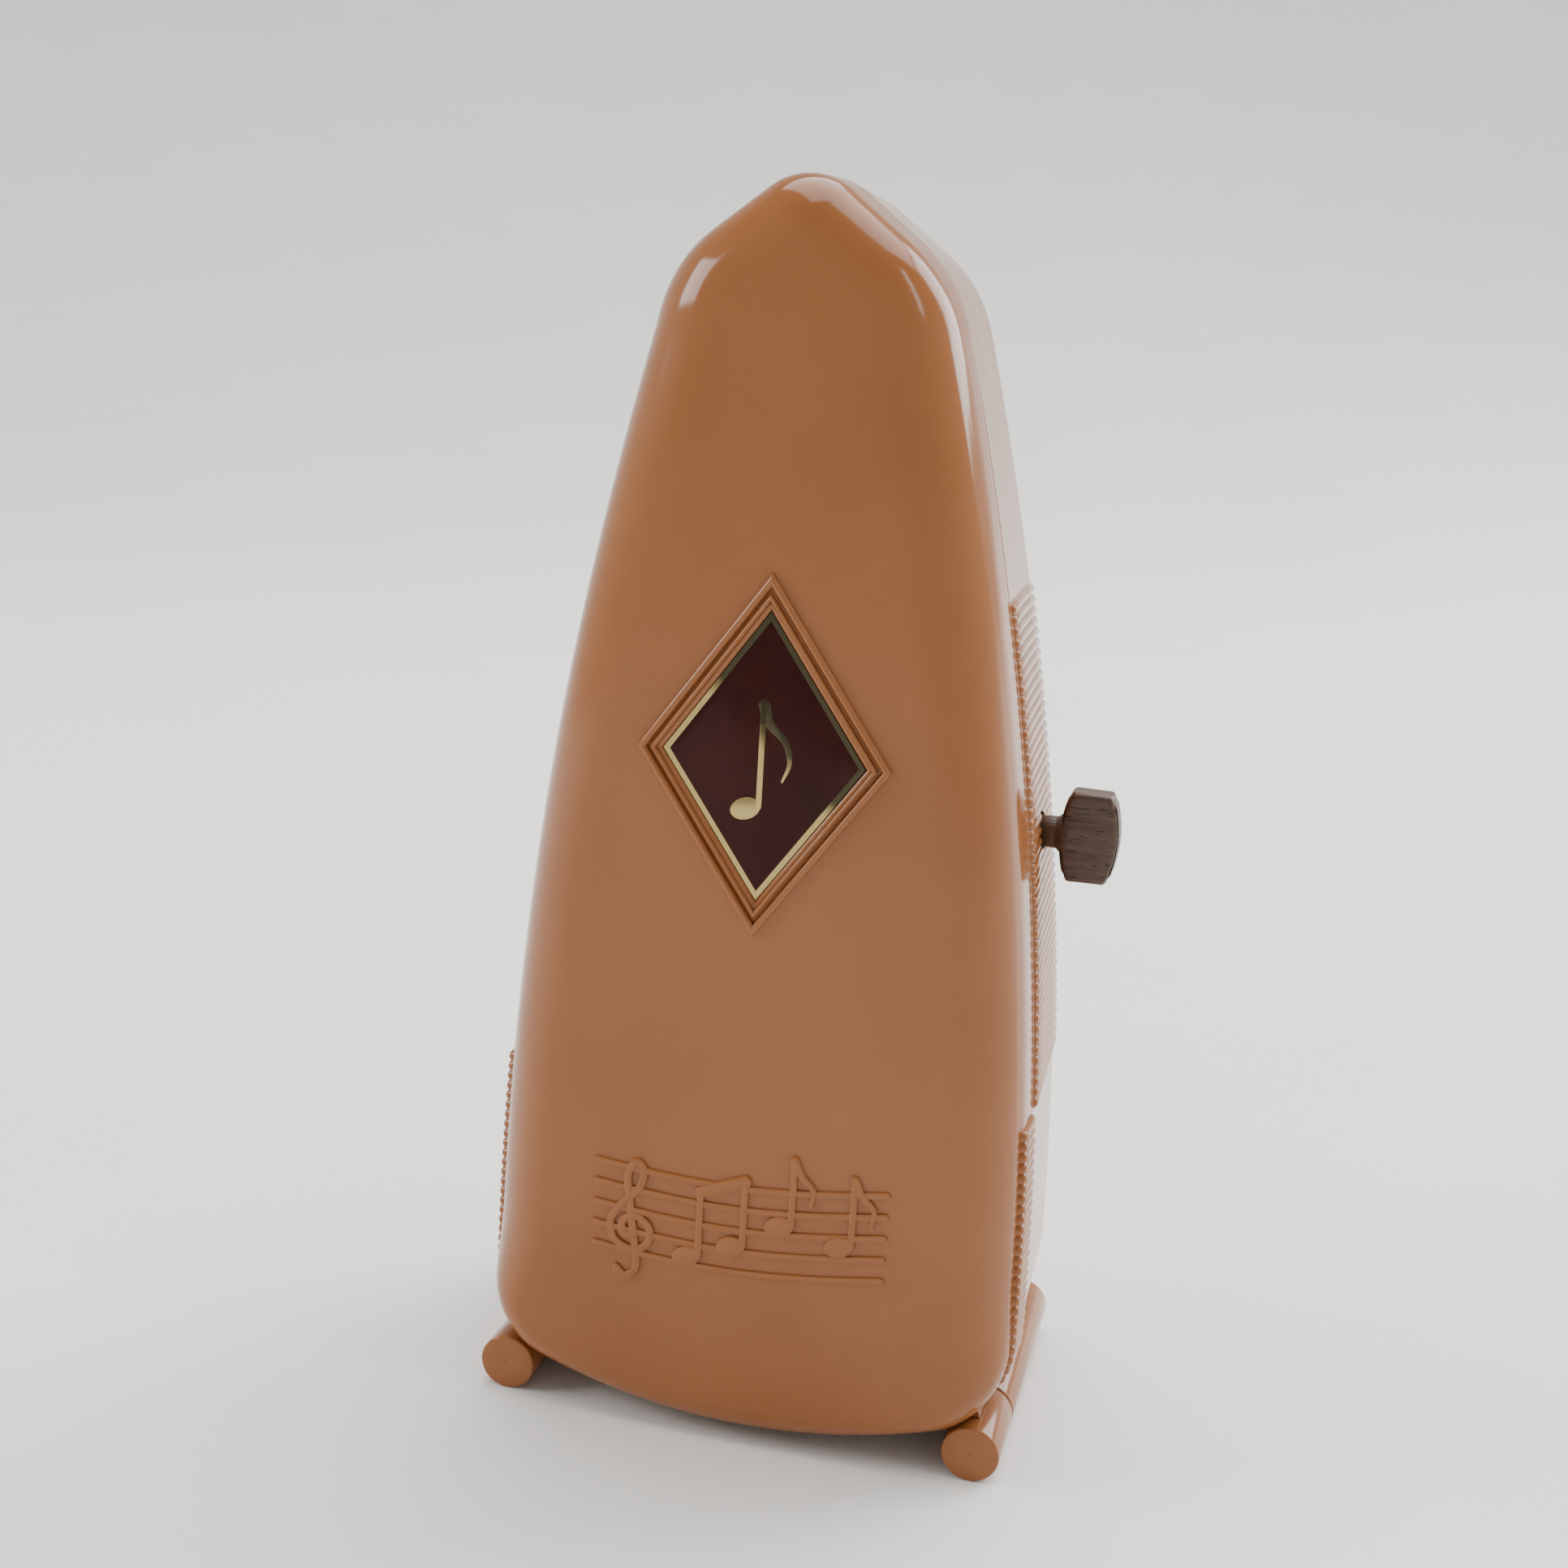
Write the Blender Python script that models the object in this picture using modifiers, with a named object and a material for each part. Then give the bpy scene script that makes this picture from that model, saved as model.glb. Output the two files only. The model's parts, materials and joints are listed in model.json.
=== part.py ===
"""A small wind-up pendulum metronome: a two-part plastic case, a spring-driven train with a crown wheel,
and a pendulum with a sliding bob. Everything is placed in the case's own frame: x to the right, y to the
back with the front face at 0, z up from the surface that the feet stand on."""

import math

import bmesh
import bpy
from mathutils import Matrix, Vector

MM = 0.001
GAP = 0.3 * MM

# The case outline, seen from the front.
APEX_Z = 160.0 * MM
SIDE_HALF_WIDTH = 35.3 * MM
SIDE_WIDEST_Z = 16.0 * MM
SIDE_RADIUS = 450.0 * MM
SHOULDER_Z = 141.5 * MM
SHOULDER_RADIUS = 24.0 * MM
ROOF_ANGLE = math.radians(50.0)
APEX_RADIUS = 8.0 * MM
BELLY_Z = 1.2 * MM
BELLY_RADIUS = 90.0 * MM
CORNER_RADIUS = 12.0 * MM

# Depths, from the front face to the back.
SEAM_Y = 14.3 * MM
COVER_RIM_Y = SEAM_Y - GAP / 2
HOUSING_RIM_Y = SEAM_Y + GAP / 2
BACK_Y = 46.0 * MM
BACK_LEAN = 0.053
BACK_DRAFT = 1.2 * MM
COVER_DRAFT = 0.4 * MM
FRONT_ROUND = 4.5 * MM
BACK_ROUND = 2.0 * MM
WALL = 1.8 * MM

# The grip ribs on both sides.
RIB_RADIUS = 0.62 * MM
RIB_PITCH = 1.4 * MM
UPPER_RIBS_Z = (47.4 * MM, 110.4 * MM)
LOWER_RIBS_Z = (12.0 * MM, 45.6 * MM)
COVER_RIBS_Y = 4.6 * MM
HOUSING_RIBS_SETBACK = 0.8 * MM

# The four foot rods.
FOOT_RADIUS = 3.15 * MM
FOOT_FLAT = 2.0 * MM
FOOT_X = 31.5 * MM
FOOT_Z = math.sqrt(FOOT_RADIUS**2 - (FOOT_FLAT / 2) ** 2)
FRONT_FOOT_Y = 5.0 * MM
REAR_FOOT_END_Y = BACK_Y
WEB_X = (28.2 * MM, 31.4 * MM)
WEB_Z = (4.2 * MM, 7.5 * MM)
FRONT_WEB_SETBACK = 0.5 * MM
REAR_WEB_SETBACK = 1.6 * MM

# The diamond badge on the front.
BADGE_Z = 91.9 * MM
BADGE_OUTER = (15.9 * MM, 22.4 * MM)
BADGE_INNER = (11.4 * MM, 16.5 * MM)
BADGE_PROUD = 0.8 * MM
BADGE_POCKET_FLOOR_Y = 0.9 * MM
PLAQUE_Y = 0.35 * MM
PLAQUE_THICKNESS = 0.5 * MM

# The train: every arbor runs along x at this depth, one above the other.
TRAIN_Y = 26.5 * MM
KEY_Z = 80.5 * MM
MODULE = 0.5 * MM
GREAT_TEETH = 40
IDLER_PINION_TEETH = 10
IDLER_TEETH = 36
ESCAPE_PINION_TEETH = 8
CROWN_TEETH = 15
RATCHET_TEETH = 16
IDLER_Z = KEY_Z - MODULE * (GREAT_TEETH + IDLER_PINION_TEETH) / 2
PIVOT_Z = IDLER_Z - MODULE * (IDLER_TEETH + ESCAPE_PINION_TEETH) / 2
GREAT_X = 2.9 * MM
GREAT_THICKNESS = 1.8 * MM
GREAT_WINDOW_ANGLES = [math.radians(a) for a in (180, 240, 300, 0)]
GREAT_WINDOWS = (6.0 * MM, 1.7 * MM)
IDLER_WHEEL_X = 12.7 * MM
IDLER_WINDOW_ANGLES = [math.radians(a) for a in (45, 135, 225, 315)]
IDLER_WINDOWS = (5.0 * MM, 1.9 * MM)
ARBOR_RADIUS = 0.8 * MM
KEY_ARBOR_RADIUS = 1.5 * MM
ARBOR_END = 0.2 * MM

# The ratchet beside the great wheel, and its click, placed about the key's axis.
RATCHET_X = 4.8 * MM
RATCHET_ROOT = 4.1 * MM
RATCHET_TIP = 5.0 * MM
RATCHET_THICKNESS = 1.2 * MM
CLICK_PIVOT = (3.8 * MM, 6.6 * MM)
CLICK_TIP = (-1.0 * MM, 5.5 * MM)
CLICK_HUB_RADIUS = 1.3 * MM
CLICK_TIP_HALF = 0.25 * MM
CLICK_PIN_RADIUS = 0.5 * MM
CLICK_PIN_HEAD = 0.9 * MM

# The crown wheel, along x about the escape arbor.
CROWN_RADIUS = 6.6 * MM
CROWN_WALL = 0.8 * MM
CROWN_TIP_X = 3.5 * MM
CROWN_BACK_X = 7.4 * MM
CROWN_NOTCH_DEPTH = 2.2 * MM

# The mainspring and its cup, along x about the key's axis.
CUP_RADIUS = 10.2 * MM
CUP_X = (19.8 * MM, 25.3 * MM)
CUP_HOLE = 2.6 * MM
CUP_FLOOR = 1.0 * MM
CUP_WALL = 0.8 * MM
SPRING_TURNS = 5.5
SPRING_RADII = (2.2 * MM, 8.9 * MM)
SPRING_STRIP = 0.35 * MM
SPRING_WIDTH = 3.6 * MM
SPRING_X = 23.2 * MM

# The chassis that carries the train.
CHASSIS_LEFT = -9.5 * MM
CHASSIS_RIGHT = 19.5 * MM
CHASSIS_FRONT_Y = 17.0 * MM
CHASSIS_BACK_Y = 38.6 * MM
CHASSIS_Z = (42.0 * MM, 94.0 * MM)
SHEET = 1.2 * MM
INSIDE_LEFT = CHASSIS_LEFT + SHEET
INSIDE_RIGHT = CHASSIS_RIGHT - SHEET
BUSH_RADIUS = 2.4 * MM
PILLAR_Y = 19.0 * MM
PILLARS_Z = (46.0 * MM, 91.0 * MM)
PILLAR_RADIUS = 1.5 * MM
VERGE_COCKS_Y = (18.0 * MM, 36.0 * MM)
COCK_THICKNESS = 1.2 * MM
COCK_HALF = 2.6 * MM
VERGE_COCK_END = 3.0 * MM
ESCAPE_COCK_X = 9.7 * MM
ESCAPE_COCK_HALF = 3.4 * MM

# Screws: the front posts' carry the scale plate, the rear bosses' the chassis. Places are (x, z).
SCREW_RADIUS = 0.9 * MM
HEAD_RADIUS = 1.9 * MM
HEAD_HEIGHT = 1.1 * MM
SCREW_POINT = 0.5 * MM
POSTS = [(x * MM, z * MM) for x, z in ((-24, 20), (24, 20), (-13.5, 124), (13.5, 124))]
BOSSES = [(x * MM, z * MM) for x, z in ((-5.5, 47), (15.5, 47), (-5.5, 90.5), (15.5, 90.5))]
POST_RADIUS = 2.5 * MM
POST_FRONT_Y = 16.0 * MM
POST_HOLE = 6.0 * MM
BOSS_RADIUS = 3.0 * MM
HEAD_SINK = 1.0 * MM

# The bezel that the cover slides over, and the scale plate inside it.
BEZEL_INSETS = (2.2 * MM, 3.4 * MM)
BEZEL_Y = 14.6 * MM
BEZEL_DEPTH = 5.0 * MM
PLATE_INSET = 3.8 * MM
PLATE_Y = 15.2 * MM
PLATE_THICKNESS = 0.8 * MM
PLATE_WINDOW_X = 8.0 * MM
PLATE_WINDOW_Z = (50.0 * MM, 66.0 * MM)

# The pendulum.
ROD_Y = 9.0 * MM
ROD_THICKNESS = 0.8 * MM
ROD_HALF_WIDTH = 1.3 * MM
ROD_TOP_Z = 143.0 * MM
ROD_BOTTOM_Z = 29.0 * MM
BOB_Z = 112.0 * MM
WEIGHT_Z = 34.0 * MM
WEIGHT_RADIUS = 12.0 * MM
WEIGHT_THICKNESS = 3.4 * MM
WEIGHT_EDGE = 0.6 * MM
WEIGHTS_Y = (5.0 * MM, 9.7 * MM)
RIVET_Y = 3.9 * MM
RIVET_RADIUS = 1.0 * MM
ROD_NOTCHES = 12
ROD_NOTCHES_START = 22.0 * MM
ROD_NOTCH_PITCH = 5.0 * MM
ROD_NOTCH_DEPTH = 0.4 * MM
ROD_NOTCH_HALF = 0.5 * MM
VERGE_RADIUS = 0.9 * MM
VERGE_END_Y = 37.2 * MM
HUB_RADIUS = 2.2 * MM
HUB_Y = (9.8 * MM, 13.0 * MM)
PALLETS_Y = (20.3 * MM, 32.7 * MM)
PALLET_LEAN = 48
PALLET_HUB_RADIUS = 1.7 * MM
PALLET_REACH = 2.8 * MM
PALLET_THICKNESS = 2.2 * MM
CATCH_HALF = 4.0 * MM
CATCH_Y = (10.2 * MM, 11.0 * MM)

# The sliding bob, about its middle.
BOB_Y = (6.6 * MM, 10.6 * MM)
BOB_HALF_HEIGHT = 6.0 * MM
BOB_TOP_HALF = 6.2 * MM
BOB_BOTTOM_HALF = 4.4 * MM
BOB_LEAF_Y = 11.1 * MM
BOB_LEAF_THICKNESS = 0.4 * MM
BOB_LEAF_HALF_HEIGHT = 4.0 * MM

# The winding key.
KNOB_X = (33.2 * MM, 41.0 * MM)
KNOB_HALF_HEIGHT = 6.0 * MM
KNOB_THICKNESS = 4.2 * MM
KNOB_BULGE = 1.1 * MM
NECK_RADIUS = 2.1 * MM
NECK_START_X = 30.0 * MM
NECK_CLEARANCE = 0.4 * MM
KEY_TENON_RADIUS = 1.0 * MM
KEY_TENON_X = (29.6 * MM, 33.0 * MM)
KEY_EDGE = 0.35 * MM

# The case stands with its bounding box centred on the origin.
CASE_X = -(KNOB_X[1] - SIDE_HALF_WIDTH - RIB_RADIUS) / 2
CASE_Y = -(BACK_Y - BADGE_PROUD) / 2

# Rotations that lay a flat outline or a turned profile along an axis.
FLAT_ON_FRONT = (math.pi / 2, 0, 0)
FLAT_ON_SIDE = (math.pi / 2, 0, math.pi / 2)
TURNED_ALONG_X = (0, math.pi / 2, 0)
TURNED_ALONG_Y = (-math.pi / 2, 0, 0)
TURNED_FORWARD = (math.pi / 2, 0, 0)

for old in list(bpy.data.objects):
    bpy.data.objects.remove(old)
parts = bpy.data.collections.new("metronome")
cutters = bpy.data.collections.new("cutters")
bpy.context.scene.collection.children.link(parts)
bpy.context.scene.collection.children.link(cutters)


def material(name, colour, roughness, metallic=0.0):
    made = bpy.data.materials.new(name)
    made.use_nodes = True
    shader = made.node_tree.nodes["Principled BSDF"]
    shader.inputs["Base Color"].default_value = (*colour, 1.0)
    shader.inputs["Roughness"].default_value = roughness
    shader.inputs["Metallic"].default_value = metallic
    return made


CARAMEL = material("caramel_plastic", (0.42, 0.19, 0.08), 0.25)
WALNUT = material("dark_brown_key", (0.07, 0.03, 0.018), 0.45)
BURGUNDY = material("burgundy_enamel", (0.06, 0.008, 0.01), 0.2)
STEEL = material("bright_steel", (0.55, 0.56, 0.58), 0.3, 1.0)
SPRING_STEEL = material("blued_steel", (0.12, 0.14, 0.2), 0.35, 1.0)
BRASS = material("brass", (0.72, 0.5, 0.2), 0.3, 1.0)
LEAD = material("cast_weight", (0.2, 0.2, 0.21), 0.6, 0.8)
SILVER = material("scale_enamel", (0.75, 0.74, 0.7), 0.4)


def place(obj, paint, parent, location=(0, 0, 0), rotation=(0, 0, 0)):
    obj.location = location
    obj.rotation_euler = rotation
    obj.parent = parent
    if paint is None:
        obj.hide_render = True
        obj.display_type = "WIRE"
        cutters.objects.link(obj)
    else:
        obj.data.materials.append(paint)
        parts.objects.link(obj)
    return obj


def axis(name, location, parent=None):
    """An empty that pieces are parented to, standing on the axis they move about."""
    made = bpy.data.objects.new(name, None)
    made.empty_display_size = 5 * MM
    made.location = location
    made.parent = parent
    parts.objects.link(made)
    return made


def from_bmesh(name, bm, paint, parent, location=(0, 0, 0), rotation=(0, 0, 0)):
    bmesh.ops.recalc_face_normals(bm, faces=bm.faces)
    mesh = bpy.data.meshes.new(name)
    bm.to_mesh(mesh)
    bm.free()
    return place(bpy.data.objects.new(name, mesh), paint, parent, location, rotation)


def flat(name, outlines, thickness, paint, parent, location=(0, 0, 0), rotation=FLAT_ON_FRONT):
    """A sheet with the first outline as its edge and the others as its holes."""
    curve = bpy.data.curves.new(name, "CURVE")
    curve.dimensions = "2D"
    curve.fill_mode = "BOTH"
    curve.extrude = thickness / 2
    for outline in outlines:
        spline = curve.splines.new("POLY")
        spline.points.add(len(outline) - 1)
        for point, (u, v) in zip(spline.points, outline):
            point.co = (u, v, 0, 1)
        spline.use_cyclic_u = True
    return place(bpy.data.objects.new(name, curve), paint, parent, location, rotation)


def turned(name, profile, paint, parent, location=(0, 0, 0), rotation=TURNED_ALONG_X, steps=20):
    """A turned piece. The profile is (radius, height) pairs from the top, down the outside."""
    mesh = bpy.data.meshes.new(name)
    edges = [(i, i + 1) for i in range(len(profile) - 1)]
    if profile[0][0] > 0:
        edges.append((len(profile) - 1, 0))
    mesh.from_pydata([(radius, 0, height) for radius, height in profile], edges, [])
    obj = place(bpy.data.objects.new(name, mesh), paint, parent, location, rotation)
    screw = obj.modifiers.new("turn", "SCREW")
    screw.steps = steps
    screw.render_steps = steps
    screw.use_merge_vertices = True
    screw.merge_threshold = 1e-6
    return obj


def tube_profile(outer, inner, bottom, top):
    return [(inner, top), (outer, top), (outer, bottom), (inner, bottom)]


def rod_profile(radius, bottom, top):
    return [(0, top), (radius, top), (radius, bottom), (0, bottom)]


def circle(radius, count=20, centre=(0, 0)):
    turns = [2 * math.pi * i / count for i in range(count)]
    return [(centre[0] + radius * math.cos(a), centre[1] + radius * math.sin(a)) for a in turns]


def add_box(bm, low, high):
    centre = [(a + b) / 2 for a, b in zip(low, high)]
    size = [b - a for a, b in zip(low, high)]
    bmesh.ops.create_cube(bm, size=1, matrix=Matrix.Translation(centre) @ Matrix.Diagonal((*size, 1)))


def add_rod(bm, start, end, radius, segments):
    """A closed cylinder from one point to another."""
    start, end = Vector(start), Vector(end)
    turn = (end - start).to_track_quat("Z", "Y").to_matrix().to_4x4()
    bmesh.ops.create_cone(
        bm,
        cap_ends=True,
        segments=segments,
        radius1=radius,
        radius2=radius,
        depth=(end - start).length,
        matrix=Matrix.Translation((start + end) / 2) @ turn,
    )


def cut(obj, cutter, operation="DIFFERENCE"):
    modifier = obj.modifiers.new(cutter.name, "BOOLEAN")
    modifier.operation = operation
    modifier.solver = "EXACT"
    modifier.use_self = True
    modifier.object = cutter


# ---------------------------------------------------------------- the case outline


def arc(centre, radius, start, end, count):
    """Points on a circle from one angle to another, both ends included."""
    angles = [start + (end - start) * i / count for i in range(count + 1)]
    return [(centre[0] + radius * math.cos(a), centre[1] + radius * math.sin(a)) for a in angles]


def corner_centre():
    """The centre of the circle that rounds the bottom corner, inside the belly's and the side's circles."""
    belly = Vector((0, BELLY_Z + BELLY_RADIUS))
    side = Vector((SIDE_HALF_WIDTH - SIDE_RADIUS, SIDE_WIDEST_Z))
    near, far = BELLY_RADIUS - CORNER_RADIUS, SIDE_RADIUS - CORNER_RADIUS
    between = side - belly
    along = (near**2 - far**2 + between.length_squared) / (2 * between.length)
    away = math.sqrt(near**2 - along**2)
    unit = between.normalized()
    return belly + unit * along + Vector((-unit.y, unit.x)) * away


def half_outline():
    """The right half of the case outline, from the bottom of the belly to the apex."""
    belly = Vector((0, BELLY_Z + BELLY_RADIUS))
    side = Vector((SIDE_HALF_WIDTH - SIDE_RADIUS, SIDE_WIDEST_Z))
    corner = corner_centre()
    low = math.atan2(corner.y - belly.y, corner.x - belly.x)
    high = math.atan2(corner.y - side.y, corner.x - side.x)
    points = arc(belly, BELLY_RADIUS, -math.pi / 2, low, 6)[:-1]
    points += arc(corner, CORNER_RADIUS, low, high, 6)[:-1]
    top = math.asin((SHOULDER_Z - SIDE_WIDEST_Z) / SIDE_RADIUS)
    points += arc(side, SIDE_RADIUS, high, top, 10)[:-1]
    shoulder = side + Vector((math.cos(top), math.sin(top))) * (SIDE_RADIUS - SHOULDER_RADIUS)
    points += arc(shoulder, SHOULDER_RADIUS, top, ROOF_ANGLE, 6)
    points += arc((0, APEX_Z - APEX_RADIUS), APEX_RADIUS, ROOF_ANGLE, math.pi / 2, 3)
    return points


def case_outline(inset=0.0):
    """The whole outline, moved in by the inset, counter-clockwise from the belly."""
    right = half_outline()
    whole = [Vector(p) for p in right + [(-x, z) for x, z in right[-2:0:-1]]]
    moved = []
    for i, point in enumerate(whole):
        along = (whole[(i + 1) % len(whole)] - whole[i - 1]).normalized()
        moved.append((point.x - along.y * inset, point.y + along.x * inset))
    return moved


def side_x(z):
    """How far the side wall stands from the middle at a height, in the bottom corner too."""
    corner = corner_centre()
    if z < corner.y:
        return corner.x + math.sqrt(CORNER_RADIUS**2 - (z - corner.y) ** 2)
    return SIDE_HALF_WIDTH - SIDE_RADIUS + math.sqrt(SIDE_RADIUS**2 - (z - SIDE_WIDEST_Z) ** 2)


def back_y(z):
    return BACK_Y - BACK_LEAN * z


def case_shell(name, y_open, y_closed, draft, rounding, parent):
    """A dish with the case outline: open at one depth, and closed with a rounded edge at the other."""
    bm = bmesh.new()
    rim = [bm.verts.new((x, y_open, z)) for x, z in case_outline()]
    end = [bm.verts.new((x, y_closed(z), z)) for x, z in case_outline(draft)]
    for i in range(len(rim)):
        bm.faces.new((rim[i - 1], rim[i], end[i], end[i - 1]))
    bm.faces.new(end)
    weight = bm.edges.layers.float.new("bevel_weight_edge")
    for i in range(len(end)):
        bm.edges.get((end[i - 1], end[i]))[weight] = 1.0
    bmesh.ops.recalc_face_normals(bm, faces=bm.faces)
    outward = bm.faces[:][-1].normal.y * (y_closed(0) - y_open) > 0
    if not outward:
        bmesh.ops.reverse_faces(bm, faces=bm.faces)
    mesh = bpy.data.meshes.new(name)
    bm.to_mesh(mesh)
    bm.free()
    obj = place(bpy.data.objects.new(name, mesh), CARAMEL, parent)
    bevel = obj.modifiers.new("round", "BEVEL")
    bevel.limit_method = "WEIGHT"
    bevel.width = rounding
    bevel.segments = 3
    solid = obj.modifiers.new("wall", "SOLIDIFY")
    solid.thickness = WALL
    solid.offset = -1
    solid.use_even_offset = True
    return obj


def rib_heights(low, high):
    count = int(round((high - low) / RIB_PITCH))
    return [low + (high - low) * i / count for i in range(count + 1)]


def add_ribs(bm, heights, y_start, y_end, wall_draft):
    """Half-round ribs along the side walls, from y_start to y_end at each height."""
    for z in heights:
        for side in (-1, 1):
            ends = [(side * (side_x(z) - wall_draft(y, z)), y, z) for y in (y_start, y_end(z))]
            add_rod(bm, *ends, RIB_RADIUS, 6)


def add_foot_webs(bm, y_start, y_end):
    """The web under each bottom corner that joins the case to its foot rod."""
    for side in (-1, 1):
        across = sorted((side * WEB_X[0], side * WEB_X[1]))
        add_box(bm, (across[0], y_start, WEB_Z[0]), (across[1], y_end, WEB_Z[1]))


def add_foot_channels(bm, y_start, y_end):
    for side in (-1, 1):
        x = side * FOOT_X
        add_rod(bm, (x, y_start, FOOT_Z), (x, y_end, FOOT_Z), FOOT_RADIUS + GAP, 24)


# ---------------------------------------------------------------- bodies

case = axis("case_frame", (CASE_X, CASE_Y, 0))
cover_slide = axis("cover_slide", (0, 0, 0), case)
swing_axis = axis("pendulum_axis", (0, 0, PIVOT_Z), case)
bob_slide = axis("bob_slide", (0, 0, BOB_Z - PIVOT_Z), swing_axis)
key_axis = axis("key_axis", (0, TRAIN_Y, KEY_Z), case)
great_axis = axis("great_axis", (0, TRAIN_Y, KEY_Z), case)
idler_axis = axis("idler_axis", (0, TRAIN_Y, IDLER_Z), case)
escape_axis = axis("escape_axis", (0, TRAIN_Y, PIVOT_Z), case)


def make_rear_housing():
    housing = case_shell("rear_housing", HOUSING_RIM_Y, back_y, BACK_DRAFT, BACK_ROUND, case)
    added = bmesh.new()
    add_ribs(
        added,
        rib_heights(*UPPER_RIBS_Z),
        SEAM_Y + HOUSING_RIBS_SETBACK,
        lambda z: back_y(z) - BACK_ROUND,
        lambda y, z: BACK_DRAFT * (y - SEAM_Y) / (back_y(z) - SEAM_Y),
    )
    add_foot_webs(added, HOUSING_RIM_Y, back_y(0) - REAR_WEB_SETBACK)
    for x, z in POSTS:
        add_rod(added, (x, POST_FRONT_Y, z), (x, back_y(z) - WALL / 2, z), POST_RADIUS, 12)
    for x, z in BOSSES:
        add_rod(added, (x, CHASSIS_BACK_Y + GAP, z), (x, back_y(z) - WALL / 2, z), BOSS_RADIUS, 12)
    cut(housing, from_bmesh("rear_housing_additions", added, None, case), "UNION")
    removed = bmesh.new()
    hole = NECK_RADIUS + NECK_CLEARANCE
    inside, outside = side_x(KEY_Z) - 3 * WALL, side_x(KEY_Z) + 3 * WALL
    add_rod(removed, (inside, TRAIN_Y, KEY_Z), (outside, TRAIN_Y, KEY_Z), hole, 20)
    behind = BACK_Y + 2 * WALL
    add_foot_channels(removed, HOUSING_RIM_Y - 2 * WALL, behind)
    for x, z in POSTS:
        near, far = POST_FRONT_Y - WALL, POST_FRONT_Y + POST_HOLE
        add_rod(removed, (x, near, z), (x, far, z), SCREW_RADIUS + GAP, 12)
    for x, z in BOSSES:
        add_rod(removed, (x, CHASSIS_BACK_Y - WALL, z), (x, behind, z), SCREW_RADIUS + GAP, 12)
        add_rod(removed, (x, back_y(z) - HEAD_SINK, z), (x, behind, z), HEAD_RADIUS + GAP, 16)
    cut(housing, from_bmesh("rear_housing_cuts", removed, None, case))


def diamond(half_width, half_height):
    return [(half_width, 0), (0, half_height), (-half_width, 0), (0, -half_height)]


def prism(name, outline, y_front, y_back, paint, parent, z):
    """A closed mesh block with an outline seen from the front."""
    bm = bmesh.new()
    front = bm.faces.new([bm.verts.new((x, y_front, z + up)) for x, up in outline])
    moved = bmesh.ops.extrude_face_region(bm, geom=[front])["geom"]
    back = [v for v in moved if isinstance(v, bmesh.types.BMVert)]
    bmesh.ops.translate(bm, verts=back, vec=(0, y_back - y_front, 0))
    return from_bmesh(name, bm, paint, parent)


def make_front_cover():
    cover = case_shell("front_cover", COVER_RIM_Y, lambda z: 0.0, COVER_DRAFT, FRONT_ROUND, cover_slide)
    frame_depth = (-BADGE_PROUD, 2 * WALL / 3)
    frame = prism("badge_frame", diamond(*BADGE_OUTER), *frame_depth, None, cover_slide, BADGE_Z)
    cut(cover, frame, "UNION")
    pocket_depth = (-2 * BADGE_PROUD, BADGE_POCKET_FLOOR_Y)
    pocket = prism("badge_pocket", diamond(*BADGE_INNER), *pocket_depth, None, cover_slide, BADGE_Z)
    cut(cover, pocket)
    added = bmesh.new()
    heights = rib_heights(*LOWER_RIBS_Z)
    add_ribs(
        added,
        heights,
        COVER_RIBS_Y,
        lambda z: COVER_RIM_Y,
        lambda y, z: COVER_DRAFT * (1 - y / SEAM_Y),
    )
    add_foot_webs(added, FRONT_FOOT_Y + FRONT_WEB_SETBACK, COVER_RIM_Y)
    cut(cover, from_bmesh("front_cover_additions", added, None, cover_slide), "UNION")
    removed = bmesh.new()
    add_foot_channels(removed, FRONT_FOOT_Y - WALL, COVER_RIM_Y + WALL)
    cut(cover, from_bmesh("front_cover_cuts", removed, None, cover_slide))
    # The plaque's corners are sharper than its sides are far from the frame, so its height shrinks more.
    plaque = diamond(BADGE_INNER[0] - 1.5 * GAP, BADGE_INNER[1] - 2 * GAP)
    flat("badge_plaque", [plaque], PLAQUE_THICKNESS, BURGUNDY, cover_slide, (0, PLAQUE_Y, BADGE_Z))


def foot_outline():
    """A circle with a narrow flat along its underside."""
    edge = math.asin(FOOT_FLAT / 2 / FOOT_RADIUS)
    return arc((0, 0), FOOT_RADIUS, -math.pi / 2 + edge, 3 * math.pi / 2 - edge, 22)


def make_feet():
    for side, word in ((-1, "left"), (1, "right")):
        x = side * FOOT_X
        front = (FRONT_FOOT_Y, COVER_RIM_Y, f"front_{word}_foot", cover_slide)
        rear = (HOUSING_RIM_Y, REAR_FOOT_END_Y, f"rear_{word}_foot", case)
        for y_start, y_end, name, parent in (front, rear):
            middle = (x, (y_start + y_end) / 2, FOOT_Z)
            flat(name, [foot_outline()], y_end - y_start, CARAMEL, parent, middle)


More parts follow.
